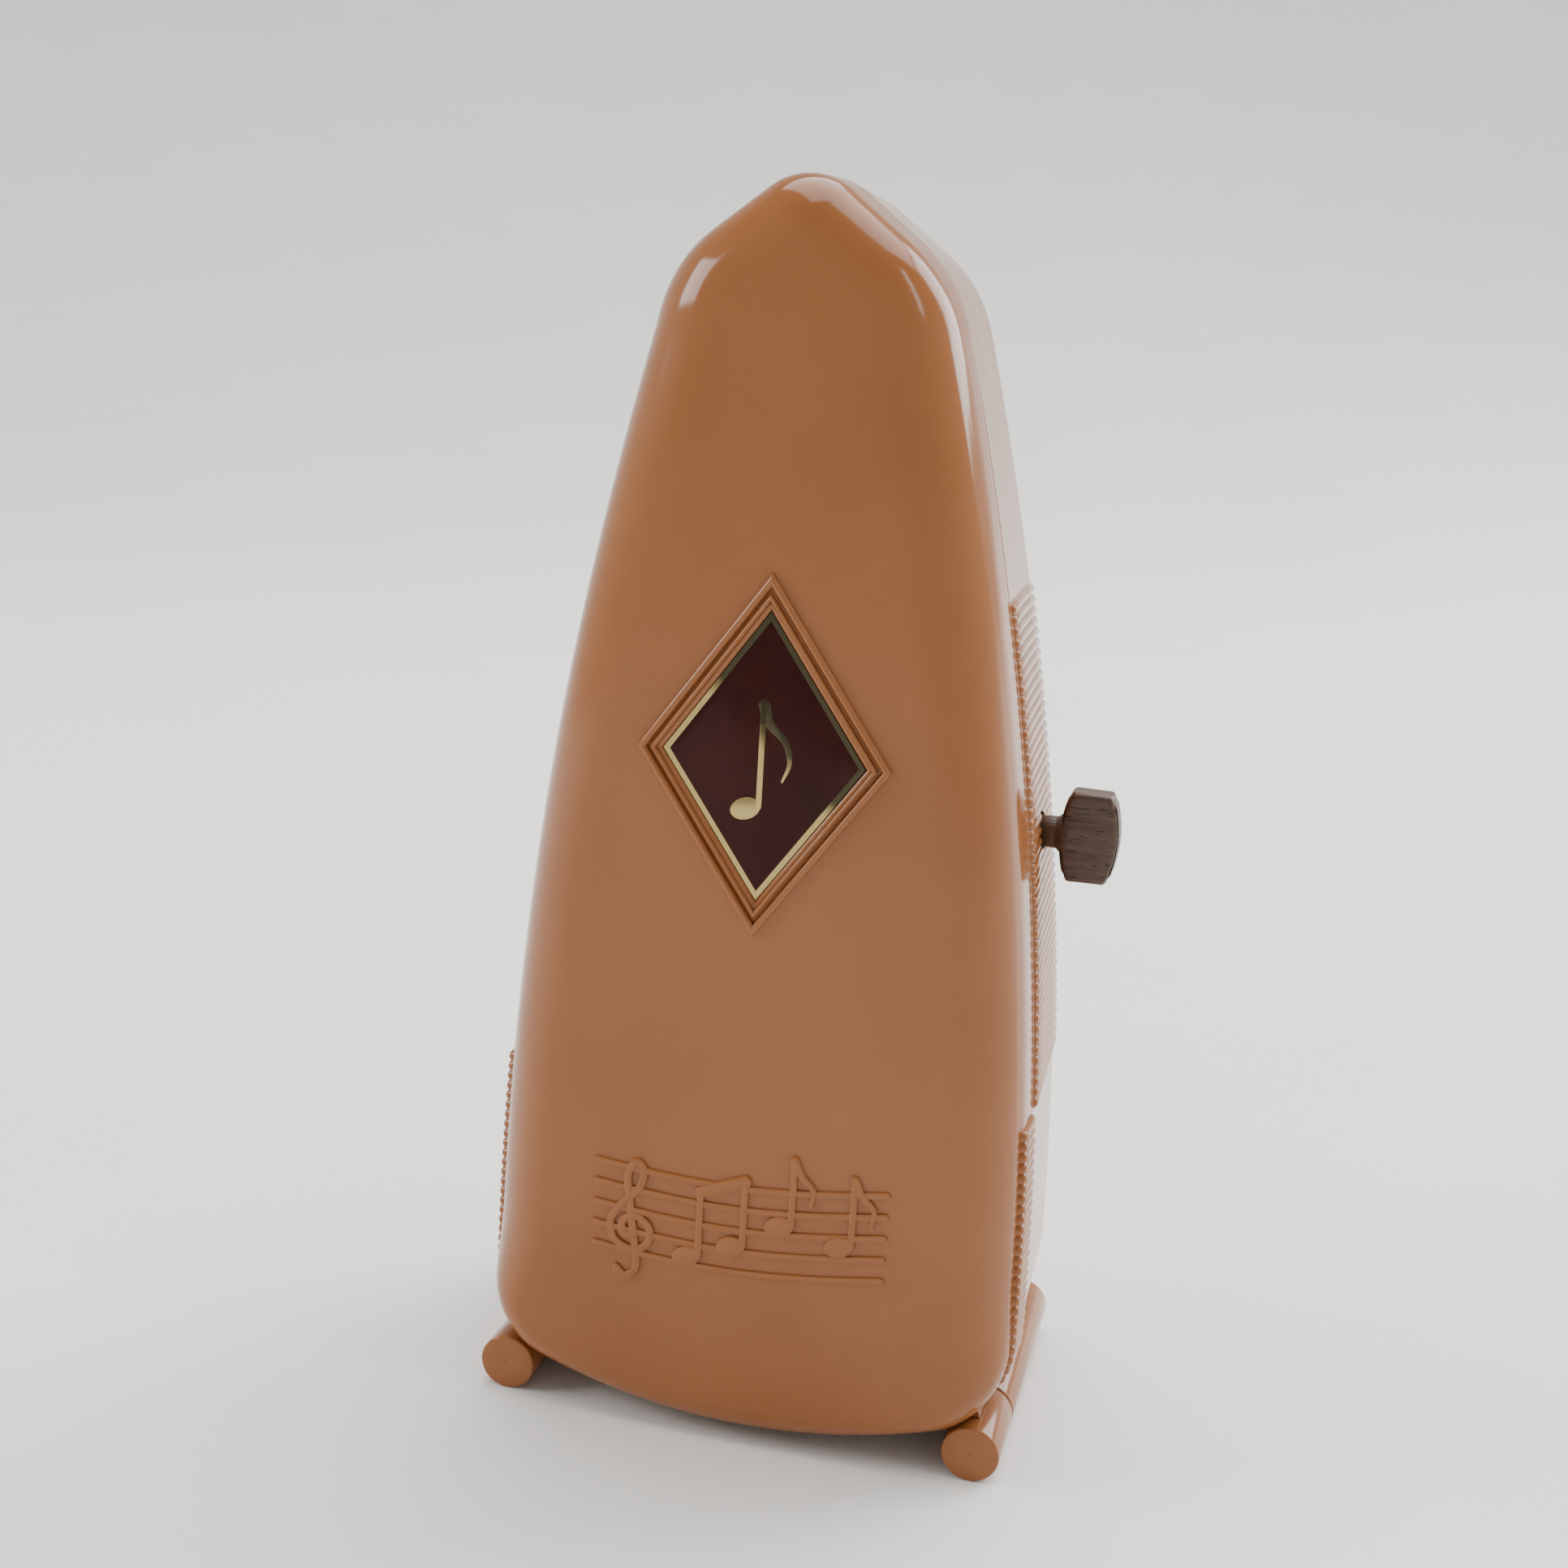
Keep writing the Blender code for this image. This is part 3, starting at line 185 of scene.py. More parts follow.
def set_looks(tree, shader, colour, grain, smooth_to, rough_to):
    """Sends a colour to the shader, and a roughness that runs with a grain."""
    tree.links.new(colour, shader.inputs["Base Color"])
    tree.links.new(remap(tree, grain, 0.3, 0.7, smooth_to, rough_to), shader.inputs["Roughness"])


def bump(tree, shader, heights):
    """Stacks bumps on the shader: each is (height output, depth in metres)."""
    normal = None
    for height, depth in heights:
        links = [("Height", height), ("Distance", depth), ("Strength", 1.0)]
        if normal is not None:
            links.append(("Normal", normal))
        normal = add_node(tree, "ShaderNodeBump", links).outputs["Normal"]
    tree.links.new(normal, shader.inputs["Normal"])


def moulded_plastic(name, light, dark, roughness):
    """Glossy moulded plastic: cloudy colour, a faint ripple, fine scratches and a few dark inclusions."""
    made, tree, shader = new_material(name, light, roughness, Specular_IOR_Level=0.32)
    here = coordinates(tree)
    cloud = remap(tree, noise(tree, here, 38, 3), 0.35, 0.65, 0, 1)
    colour = mix_colour(tree, cloud, light, dark)
    grain = noise(tree, here, 2600, 2)
    colour = mix_colour(tree, remap(tree, grain, 0.3, 0.7, 0, 0.10), colour, tuple(c * 0.7 for c in dark))
    cells = add_node(tree, "ShaderNodeTexVoronoi", [("Vector", here), ("Scale", 70.0)])
    near = remap(tree, cells.outputs["Distance"], 0.022, 0.034, 1, 0)
    chance = add_node(tree, "ShaderNodeSeparateColor", [("Color", cells.outputs["Color"])]).outputs["Red"]
    rare = remap(tree, chance, 0.90, 0.93, 0, 1)
    colour = mix_colour(tree, calculate(tree, "MULTIPLY", near, rare), colour, (0.035, 0.018, 0.012))
    tree.links.new(colour, shader.inputs["Base Color"])
    smear = noise(tree, coordinates(tree, (1, 1, 0.35)), 120, 4, 0.6)
    tree.links.new(
        remap(tree, smear, 0.3, 0.75, roughness * 0.8, roughness * 1.45), shader.inputs["Roughness"]
    )
    scratch = remap(tree, noise(tree, coordinates(tree, (900, 900, 40)), 1.0, 2), 0.62, 0.75, 0, 1)
    bump(tree, shader, [(noise(tree, here, 150, 1), 0.05 * MM), (grain, 0.0015 * MM), (scratch, 0.001 * MM)])
    return made


def grained_wood():
    """Dark brown wood with fine lines and short pores along the key's axis, and a worn wax sheen."""
    dark, middle, light = (0.021, 0.0085, 0.0042), (0.062, 0.027, 0.0135), (0.125, 0.062, 0.034)
    made, tree, shader = new_material("walnut_grain", middle, 0.42)
    lines = noise(tree, coordinates(tree, (55, 900, 900)), 1.6, 4, 0.65)
    colour = mix_colour(tree, remap(tree, lines, 0.36, 0.66, 0, 1), dark, light)
    bands = noise(tree, coordinates(tree, (20, 260, 260)), 1.0, 2)
    colour = mix_colour(tree, remap(tree, bands, 0.35, 0.65, 0.25, 0.75), colour, middle)
    pores = noise(tree, coordinates(tree, (420, 2600, 2600)), 1.0, 1)
    holes = remap(tree, pores, 0.66, 0.72, 0, 1)
    colour = mix_colour(tree, holes, colour, (0.006, 0.003, 0.002))
    set_looks(tree, shader, colour, lines, 0.5, 0.36)
    bump(tree, shader, [(lines, 0.05 * MM), (remap(tree, holes, 0, 1, 1, 0), 0.05 * MM)])
    return made


def worn_metal(name, colour, shade, roughness, scale, stretch=(1, 1, 1), depth=0.004):
    """Metal with brushing or turning marks, cloudy tarnish and uneven gloss."""
    made, tree, shader = new_material(name, colour, roughness, 1.0)
    marks = noise(tree, coordinates(tree, stretch), scale, 3, 0.6)
    tarnish = noise(tree, coordinates(tree), 160, 4, 0.6)
    mixed = mix_colour(tree, remap(tree, tarnish, 0.35, 0.7, 0, 1), colour, shade)
    set_looks(tree, shader, mixed, marks, roughness * 0.75, roughness * 1.35)
    bump(tree, shader, [(marks, depth * MM)])
    return made


def dark_enamel():
    """Burgundy enamel under a clear gloss, very slightly uneven."""
    made, tree, shader = new_material(
        "burgundy_enamel", (0.030, 0.0050, 0.0035), 0.12, Specular_IOR_Level=0.12
    )
    here = coordinates(tree)
    depth = remap(tree, noise(tree, here, 110, 3), 0.35, 0.7, 0, 1)
    colour = mix_colour(tree, depth, (0.036, 0.0056, 0.004), (0.026, 0.0042, 0.003))
    set_looks(tree, shader, colour, noise(tree, here, 700, 2), 0.1, 0.17)
    bump(tree, shader, [(noise(tree, here, 260, 1), 0.006 * MM)])
    return made


def printed_enamel(name, light, dark, roughness):
    """A stoved enamel or ink surface with a faint stipple."""
    made, tree, shader = new_material(name, light, roughness)
    here = coordinates(tree)
    age = remap(tree, noise(tree, here, 45, 4, 0.6), 0.35, 0.7, 0, 1)
    stipple = noise(tree, here, 1800, 2)
    colour = mix_colour(tree, age, light, dark)
    set_looks(tree, shader, colour, stipple, roughness * 0.85, roughness * 1.2)
    bump(tree, shader, [(stipple, 0.004 * MM)])
    return made


def gilt_foil():
    """Pale gold foil with a painted reflection: painted bright over its lower part and darkened to olive grey
    above and to the right, as painted reflections of a bright floor and a dark room.
    """
    made, tree, shader = new_material("gilt_foil", (0.55, 0.44, 0.2), 0.18, 1.0)
    here = add_node(tree, "ShaderNodeTexCoord").outputs["Object"]
    axes = add_node(tree, "ShaderNodeSeparateXYZ", [("Vector", here)])
    # Painted reflection: a slanted line across the foil, falling to the right; below it the colour is painted
    # bright gold, above it painted dark olive grey.
    lean = calculate(tree, "MULTIPLY", axes.outputs["X"], 0.9)
    height = calculate(tree, "ADD", axes.outputs["Z"], lean)
    ragged = remap(tree, noise(tree, here, 700, 3), 0.3, 0.7, -0.5 * MM, 0.5 * MM)
    edge = calculate(tree, "ADD", height, ragged)
    painted_reflection_share = remap(tree, edge, BADGE_Z - 1.5 * MM, BADGE_Z + 1.5 * MM, 0, 1)
    grain = noise(tree, here, 1400, 3)
    colour = mix_colour(tree, painted_reflection_share, (0.40, 0.31, 0.125), (0.060, 0.050, 0.030))
    set_looks(tree, shader, colour, grain, 0.13, 0.24)
    bump(tree, shader, [(grain, 0.002 * MM)])
    return made


PLASTIC = moulded_plastic("caramel_plastic", (0.288, 0.105, 0.034), (0.264, 0.093, 0.028), 0.12)
WALNUT = grained_wood()
ENAMEL = dark_enamel()
GOLD = gilt_foil()
STEEL = worn_metal("brushed_steel", (0.60, 0.60, 0.61), (0.45, 0.45, 0.46), 0.28, 300.0, (1, 1, 8))
SPRING = worn_metal("blued_spring_steel", (0.10, 0.12, 0.19), (0.16, 0.13, 0.12), 0.30, 700.0)
BRASS = worn_metal("lacquered_brass", (0.78, 0.55, 0.24), (0.62, 0.40, 0.16), 0.26, 700.0)
CAST = worn_metal("cast_weight_metal", (0.24, 0.24, 0.25), (0.16, 0.16, 0.165), 0.55, 1100.0, depth=0.03)
IVORY = printed_enamel("ivory_scale_enamel", (0.78, 0.74, 0.64), (0.70, 0.65, 0.54), 0.34)
INK = printed_enamel("black_scale_ink", (0.018, 0.017, 0.016), (0.035, 0.032, 0.03), 0.45)
SLOT_PAINT = {
    "case_plastic": PLASTIC,
    "key_brown": WALNUT,
    "badge_enamel": ENAMEL,
    "steel": STEEL,
    "spring_steel": SPRING,
    "brass": BRASS,
    "cast_weight": CAST,
    "scale_enamel": IVORY,
}


# ---------------------------------------------------------------- mesh helpers


def finish_piece(obj, body, nodes=()):
    """Puts a piece on its body, in place of the nodes it shows."""
    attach(obj, body)
    if nodes:
        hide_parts(*nodes)


def mesh_object(name, points, faces, paint, sharp=35.0):
    """An object of points in the case's own frame, with its normals made consistent and its creases sharp."""
    mesh = bpy.data.meshes.new(name)
    moved = np.asarray(points, float) + (CASE_X, CASE_Y, 0)
    mesh.from_pydata(moved.tolist(), [], faces)
    bm = bmesh.new()
    bm.from_mesh(mesh)
    bmesh.ops.remove_doubles(bm, verts=bm.verts, dist=1e-7)
    bmesh.ops.recalc_face_normals(bm, faces=bm.faces)
    bm.to_mesh(mesh)
    bm.free()
    mesh.materials.append(paint)
    obj = bpy.data.objects.new(name, mesh)
    bpy.context.scene.collection.objects.link(obj)
    smooth(obj, sharp)
    return obj


def smooth(obj, sharp):
    obj.data.shade_smooth()
    obj.data.set_sharp_from_angle(angle=math.radians(sharp))


def loft(rings, wrap=False):
    """Points and quads through rings of equal count: capped at both ends, or joined last to first."""
    count = len(rings[0])
    points = np.concatenate([np.asarray(ring, float) for ring in rings])
    faces = []
    spans = len(rings) if wrap else len(rings) - 1
    for k in range(spans):
        near, far = k * count, (k + 1) % len(rings) * count
        for i in range(count):
            j = (i + 1) % count
            faces.append((near + i, near + j, far + j, far + i))
    if not wrap:
        faces.append(tuple(range(count)))
        faces.append(tuple(range(len(points) - count, len(points))))
    return points, faces


def merge(shapes):
    """One (points, faces) from several."""
    points, faces, start = [], [], 0
    for some, quads in shapes:
        points.append(np.asarray(some, float))
        faces += [tuple(start + i for i in quad) for quad in quads]
        start += len(some)
    return np.concatenate(points), faces


def drum(start, end, profile, count=48):
    """A turned shape along the line from start to end: profile is (distance along, radius) pairs."""
    start, end = Vector(start), Vector(end)
    turn = (end - start).to_track_quat("Z", "Y")
    rings = []
    for along, radius in profile:
        ring = []
        for i in range(count):
            angle = 2 * math.pi * i / count
            ring.append(start + turn @ Vector((radius * math.cos(angle), radius * math.sin(angle), along)))
        rings.append(ring)
    return loft(rings)


def pin(start, end, radius, edge=0.0, count=48):
    """A plain cylinder, with rounded ends where an edge is given."""
    length = (Vector(end) - Vector(start)).length
    if edge == 0:
        return drum(start, end, [(0, radius), (length, radius)], count)
    lead = [(along, radius - inset) for along, inset in rounding(edge)]
    tail = [(length - along, width) for along, width in lead[::-1]]
    return drum(start, end, lead + tail, count)


def combine(obj, other, operation):
    """Applies a Boolean with a helper object and removes the helper."""
    modifier = obj.modifiers.new("combine", "BOOLEAN")
    modifier.operation = operation
    modifier.solver = "EXACT"
    modifier.object = other
    graph = bpy.context.evaluated_depsgraph_get()
    result = bpy.data.meshes.new_from_object(obj.evaluated_get(graph))
    obj.modifiers.clear()
    obj.data = result
    bpy.data.objects.remove(other)


def cut_piece(obj, shapes, finish, sharp=35):
    """Cuts the shapes out of a piece, and gives the cut faces the piece's own paint."""
    combine(obj, helper(shapes), "DIFFERENCE")
    obj.data.materials.clear()
    obj.data.materials.append(finish)
    smooth(obj, sharp)


def helper(shapes):
    return mesh_object("helper", *merge(shapes), PLASTIC)


def case_box(name):
    """A node's box in the case's own frame: its low and high corners."""
    shift = Vector((CASE_X, CASE_Y, 0))
    low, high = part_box(name)
    return low - shift, high - shift


def sheet(corners, y_back, y_front):
    """A flat plate between two depths, from a closed outline of (x, z) points."""
    return loft([[(x, y, z) for x, z in corners] for y in (y_back, y_front)])


def rotated(u, v, angle):
    return u * math.cos(angle) - v * math.sin(angle), u * math.sin(angle) + v * math.cos(angle)


def rounding(edge, start=0.0, count=5):
    """A quarter-round section as (distance along, distance in), from the end face to the side."""
    angles = np.linspace(start, math.pi / 2, count)
    return [(edge * (1 - math.cos(a)), edge * (1 - math.sin(a))) for a in angles]


# ---------------------------------------------------------------- the case outline


BELLY = Vector((0, BELLY_Z + BELLY_RADIUS))
SIDE = Vector((SIDE_HALF_WIDTH - SIDE_RADIUS, SIDE_WIDEST_Z))


def corner_centre():
    """The centre of the bottom corner's circle, inside the belly's and the side's circles."""
    near, far = BELLY_RADIUS - CORNER_RADIUS, SIDE_RADIUS - CORNER_RADIUS
    between = SIDE - BELLY
    along = (near**2 - far**2 + between.length_squared) / (2 * between.length)
    away = math.sqrt(near**2 - along**2)
    unit = between.normalized()
    return BELLY + unit * along + Vector((-unit.y, unit.x)) * away


CORNER = corner_centre()
BELLY_END = math.atan2(CORNER.y - BELLY.y, CORNER.x - BELLY.x)
CORNER_END = math.atan2(CORNER.y - SIDE.y, CORNER.x - SIDE.x)
SIDE_END = math.asin((SHOULDER_Z - SIDE_WIDEST_Z) / SIDE_RADIUS)


def station(centre, radius, angle):
    """A point of the outline with its outward direction: (x, z, across, up)."""
    across, up = math.cos(angle), math.sin(angle)
    return (centre[0] + radius * across, centre[1] + radius * up, across, up)


def side_station(z):
    """The station at a height on the side, in the bottom corner too."""
    if z < CORNER.y + CORNER_RADIUS * math.sin(CORNER_END):
        return station(CORNER, CORNER_RADIUS, math.asin((z - CORNER.y) / CORNER_RADIUS))
    return station(SIDE, SIDE_RADIUS, math.asin((z - SIDE_WIDEST_Z) / SIDE_RADIUS))


def rib_centres(low, high):
    return np.linspace(low, high, int(round((high - low) / RIB_PITCH)) + 1)


def side_heights(ribs_z):
    """Heights along the side: close together across each rib, 1 mm apart below the ribs and 2.2 above."""
    start = CORNER.y + CORNER_RADIUS * math.sin(BELLY_END + 0.9)
    across_rib = np.array([-0.7, -0.6, -0.45, -0.23, 0, 0.23, 0.45, 0.6]) * MM
    ribs = (rib_centres(*ribs_z)[:, None] + across_rib).ravel()
    outer = np.array([RIB_TIP, 0.97 * RIB_TIP])
    ribs = np.concatenate([ribs[0] + RIB_PITCH / 2 - outer, ribs, ribs_z[1] + outer[::-1]])
    below = np.arange(start, ribs[0] - 0.5 * MM, 1.0 * MM)
    above = np.arange(ribs[-1] + 0.5 * MM, SHOULDER_Z, 2.2 * MM)
    heights = np.concatenate([below, ribs, above])
    far = np.abs(heights - BADGE_Z) > 0.05 * MM
    return np.sort(np.append(heights[far], BADGE_Z))


def outline(ribs_z):
    """All stations of the outline as an array, counter-clockwise from the belly."""
    heights = side_heights(ribs_z)
    corner_start = math.asin((heights[0] - CORNER.y) / CORNER_RADIUS)
    right = [station(BELLY, BELLY_RADIUS, a) for a in np.linspace(-math.pi / 2, BELLY_END, 24)[:-1]]
    right += [station(CORNER, CORNER_RADIUS, a) for a in np.linspace(BELLY_END, corner_start, 14)[:-1]]
    right += [side_station(z) for z in heights]
    shoulder = SIDE + Vector((math.cos(SIDE_END), math.sin(SIDE_END))) * (SIDE_RADIUS - SHOULDER_RADIUS)
    right += [station(shoulder, SHOULDER_RADIUS, a) for a in np.linspace(SIDE_END, ROOF_ANGLE, 18)]
    roof = np.array(right[-1])
    apex = (0, APEX_Z - APEX_RADIUS)
    ridge = [station(apex, APEX_RADIUS, a) for a in np.linspace(ROOF_ANGLE, math.pi / 2, 14)]
    right += [tuple(roof + (np.array(ridge[0]) - roof) * s) for s in (0.2, 0.4, 0.6, 0.8)]
    right += ridge
    left = [(-x, z, -across, up) for x, z, across, up in right[-2:0:-1]]
    return np.array(right + left)


def inset_ring(stations, inset, y, proud=0.0):
    """A ring at a depth, moved in by the inset and out by what stands proud."""
    out = np.broadcast_to(proud - inset, len(stations))
    x = stations[:, 0] + stations[:, 2] * out
    z = stations[:, 1] + stations[:, 3] * out
    return np.stack([x, np.broadcast_to(y, len(stations)), z], axis=1)


def back_y(z):
    return BACK_Y - BACK_LEAN * z


def crown(x):
    """How far the front face has curved back at a distance from its middle."""
    return FACE_CROWN * (x / SIDE_HALF_WIDTH) ** 2


def smoothstep(low, high, value):
    t = np.clip((value - low) / (high - low), 0, 1)
    return t * t * (3 - 2 * t)


def rib_height(stations, y, start, end, ribs_z, round_end=True):
    """How proud the ribs stand of the wall, with rounded ends at start and, if asked, at end."""
    centres = rib_centres(*ribs_z)
    z = stations[:, 1]
    on_side = (z > ribs_z[0] - RIB_PITCH) & (z < ribs_z[1] + RIB_PITCH) & (np.abs(stations[:, 0]) > 20 * MM)
    from_centre = np.abs(z[:, None] - centres).min(axis=1)
    into = np.clip(start + RIB_TIP - y, 0, None)
    if round_end:
        into = np.maximum(into, np.clip(y - end + RIB_TIP, 0, None))
    square = RIB_CURVE**2 - from_centre**2 - into**2
    height = np.sqrt(np.clip(square, 0, None)) - RIB_SINK
    return np.where(on_side & (height > 1e-6), height, 0.0)


RIB_TIP_STEPS = [share * RIB_TIP for share in (0, 0.03, 0.15, 0.35, 0.6, 1.0)]


# ---------------------------------------------------------------- the cover


def edge_round(z):
    """The radius of the front edge: small under the belly, large at the sides, smaller again at the apex."""
    side = BELLY_ROUND + (SIDE_ROUND - BELLY_ROUND) * smoothstep(*CORNER_ROUND_Z, z)
    grown = side + (HIGH_ROUND - SIDE_ROUND) * smoothstep(*ROUND_GROWS_Z, z)
    return grown - (HIGH_ROUND - APEX_ROUND) * smoothstep(*ROUND_SHRINKS_Z, z)


def diamond(perpendicular):
    """The badge's half width and half height, with its sides moved in by a distance."""
    half_x, half_z = BADGE_OUTER
    slant = math.hypot(half_x, half_z)
    return half_x - perpendicular * slant / half_z, half_z - perpendicular * slant / half_x


def diamond_ring(stations, perpendicular, y):
    """The badge's outline moved in by a distance, with a point in each station's direction."""
    half_x, half_z = diamond(perpendicular)
    x, z = stations[:, 0], stations[:, 1] - BADGE_Z
    reach = 1 / (np.abs(x) / half_x + np.abs(z) / half_z)
    return np.stack([x * reach, crown(x * reach) + y, z * reach + BADGE_Z], axis=1)


def badge_profile():
    """The frame's section from its outer edge inwards, as (distance in, height above the face)."""
    section = []
    for centre, half, low, high in ((0.5, 0.5, 0.0, 0.76), (1.68, 0.3, 0.16, 0.74)):
        for angle in np.linspace(math.pi, 0, 9):
            height = low + (high - low) * math.sin(angle) ** 0.8
            section.append((centre + half * math.cos(angle), height))
    section += [(2.06, 0.22), (2.3, 0.16), (2.52, 0.02), (2.58, -0.1), (2.6, -0.52), (2.8, -0.56)]
    return [(distance * MM, height * MM) for distance, height in section]


def cover_shell():
    stations = outline(LOWER_RIBS_Z)
    x, z = stations[:, 0], stations[:, 1]
    radius = edge_round(z)
    edge = radius + crown(x)
    rim = COVER_RIM_Y

    def draft(y):
        return COVER_DRAFT * (1 - np.minimum(y, SEAM_Y) / SEAM_Y)

    def round_angle(y):
        """How far round the front edge a depth is, from 0 at the side wall to a quarter turn at the face."""
        return np.arcsin(np.clip((edge - y) / radius, 0, 1))

    rings = []
    face = inset_ring(stations, radius + 0.1 * MM, 0)
    middle = np.array([0, 0, BADGE_Z])
    for share in (0.25, 0.6, 1.0):
        ring = middle + (face - middle) * share
        ring[:, 1] = WALL + crown(ring[:, 0])
        rings.append(ring)
    for angle in np.linspace(math.pi / 2, 0, 9)[1:]:
        inner = radius - WALL
        ring = inset_ring(stations, draft(edge) + WALL + inner * (1 - math.cos(angle)), 0)
        ring[:, 1] = WALL + inner * (1 - math.sin(angle)) + crown(ring[:, 0])
        rings.append(ring)
    rings.append(inset_ring(stations, WALL + RIM_ROUND, rim - RIM_ROUND))
    rings.append(inset_ring(stations, WALL + RIM_ROUND * 1.3, rim))
    start = COVER_RIBS_Y
    wall = [rim, rim - 0.3 * RIM_ROUND, rim - RIM_ROUND, rim - 1.2 * MM]
    wall += list(np.linspace(rim - 2.2 * MM, start + 1.4 * MM, 5))
    wall += [start + step for step in RIB_TIP_STEPS[::-1]]
    for number, y in enumerate(wall):
        rounded = radius * (1 - np.cos(round_angle(y)))
        soften = (RIM_ROUND, 0.3 * RIM_ROUND)[number] if number < 2 else 0
        proud = rib_height(stations, y, start, rim, LOWER_RIBS_Z, round_end=False)
        inset = np.where(proud > 0, draft(y) - proud, draft(y) + rounded) + soften
        rings.append(inset_ring(stations, inset, y))
    first = round_angle(start)
    for share in np.linspace(0, 1, 17)[1:]:
        angle = first + (math.pi / 2 - first) * share
        ring = inset_ring(stations, draft(edge) + radius * (1 - np.cos(angle)), 0)
        ring[:, 1] = radius * (1 - np.sin(angle)) + crown(ring[:, 0])
        rings.append(ring)
    face = rings[-1]
    badge = diamond_ring(stations, -0.25 * MM, 0)
    for share in np.linspace(0, 1, 13)[1:]:
        ring = face + (badge - face) * share
        ring[:, 1] = crown(ring[:, 0])
        rings.append(ring)
    rings += [diamond_ring(stations, distance, -height) for distance, height in badge_profile()]
    return rings


def add_webs(y_start, y_end):
    """The webs under the bottom corners that the foot rods hang from."""
    corners = np.array([(28.4, 3.6), (31.3, 3.2), (32.6, 6.4), (31.8, 9.0), (28.0, 7.6)]) * MM
    return [sheet(corners * (side, 1), y_start, y_end) for side in (-1, 1)]


def channel_cutters(y_start, y_end):
    """The round channels that the foot rods lie in."""
    radius = FOOT_RADIUS + 0.12 * MM
    return [pin((x, y_start, FOOT_Z), (x, y_end, FOOT_Z), radius, count=64) for x in (-FOOT_X, FOOT_X)]


def make_cover():
    cover = mesh_object("front_cover_shell", *loft(cover_shell()), PLASTIC)
    combine(cover, helper(add_webs(FOOT_FRONT_Y + 2.8 * MM, COVER_RIM_Y)), "UNION")
    combine(cover, helper(channel_cutters(FOOT_FRONT_Y - 1.8 * MM, SEAM_Y + 3 * MM)), "DIFFERENCE")
    smooth(cover, 35)
    finish_piece(cover, "cover", ["front_cover"])


# ---------------------------------------------------------------- the badge


def diamond_slab(name, layers, paint, steps=10):
    """A slab with the badge's outline: layers are (distance in, depth y) pairs from the back."""
    rings = []
    for perpendicular, y in layers:
        half_x, half_z = diamond(perpendicular)
        corners = [(half_x, 0), (0, half_z), (-half_x, 0), (0, -half_z)]
        ring = []
        for k, (x, z) in enumerate(corners):
            next_x, next_z = corners[(k + 1) % 4]
            for i in range(steps):
                share = i / steps
                ring.append((x + (next_x - x) * share, y, BADGE_Z + z + (next_z - z) * share))
        rings.append(ring)
    return mesh_object(name, *loft(rings), paint)


def stepped(outline_points, steps):
    """A flat shape from a closed outline of (x, z) points: steps are (distance in, depth y) pairs."""
    points = np.array(outline_points)
    ahead, behind = np.roll(points, -1, axis=0), np.roll(points, 1, axis=0)
    along = ahead - behind
    along /= np.maximum(np.linalg.norm(along, axis=1, keepdims=True), 1e-12)
    area = np.sum(points[:, 0] * ahead[:, 1] - ahead[:, 0] * points[:, 1])
    inward = np.stack([-along[:, 1], along[:, 0]], axis=1) * (1 if area > 0 else -1)
    rings = []
    for inset, y in steps:
        moved = points + inward * inset
        rings.append(np.stack([moved[:, 0], np.full(len(moved), y), moved[:, 1]], axis=1))
    return loft(rings)


def soft_edge(y, edge):
    """The steps of a softened edge, from the side to a face at a depth."""
    return [(0, y + edge), (0.3 * edge, y + 0.3 * edge), (edge, y)]


def raised(outline_points, y_back, y_front, edge):
    """A raised flat shape with a softened front edge."""
    return stepped(outline_points, [(0, y_back), *soft_edge(y_front, edge)])


def slab(outline_points, y_front, y_back, edge):
    """A flat piece with softened edges front and back."""
    back = soft_edge(y_back, -edge)
    steps = soft_edge(y_front, edge)[::-1] + [(abs(inset), y) for inset, y in back]
    return stepped(outline_points, steps)


def ellipse(centre, wide, high, tilt, count=28):
    points = []
    for i in range(count):
        angle = 2 * math.pi * i / count
        x, z = rotated(wide * math.cos(angle), high * math.sin(angle), tilt)
        points.append((centre[0] + x, centre[1] + z))
    return points


def ribbon(path, widths):
    """A closed outline around a path of (x, z) points with a half width at each, and rounded ends."""
    path = np.array(path, float)
    along = np.gradient(path, axis=0)
    along /= np.linalg.norm(along, axis=1, keepdims=True)
    across = np.stack([-along[:, 1], along[:, 0]], axis=1)
    widths = np.broadcast_to(widths, len(path))[:, None]
    left, right = path + across * widths, path - across * widths
    caps = []
    for end, direction, side in ((-1, 1, 1), (0, -1, -1)):
        for angle in np.linspace(0, math.pi, 9)[1:-1]:
            swing = across[end] * side * math.cos(angle) + along[end] * direction * math.sin(angle)
            caps.append(path[end] + swing * widths[end])
    half = len(caps) // 2
    return np.concatenate([left, caps[:half], right[::-1], caps[half:]])


def curve_points(controls, count=14):
    """A smooth Catmull-Rom line through a few control points."""
    controls = [np.array(c, float) for c in controls]
    controls = [2 * controls[0] - controls[1], *controls, 2 * controls[-1] - controls[-2]]
    points = []
    for a, b, c, d in zip(controls, controls[1:], controls[2:], controls[3:]):
        square, cube = 2 * a - 5 * b + 4 * c - d, 3 * b - a - 3 * c + d
        for t in np.linspace(0, 1, count, endpoint=False):
            points.append(0.5 * (2 * b + (c - a) * t + square * t**2 + cube * t**3))
    points.append(controls[-2])
    return np.array(points)


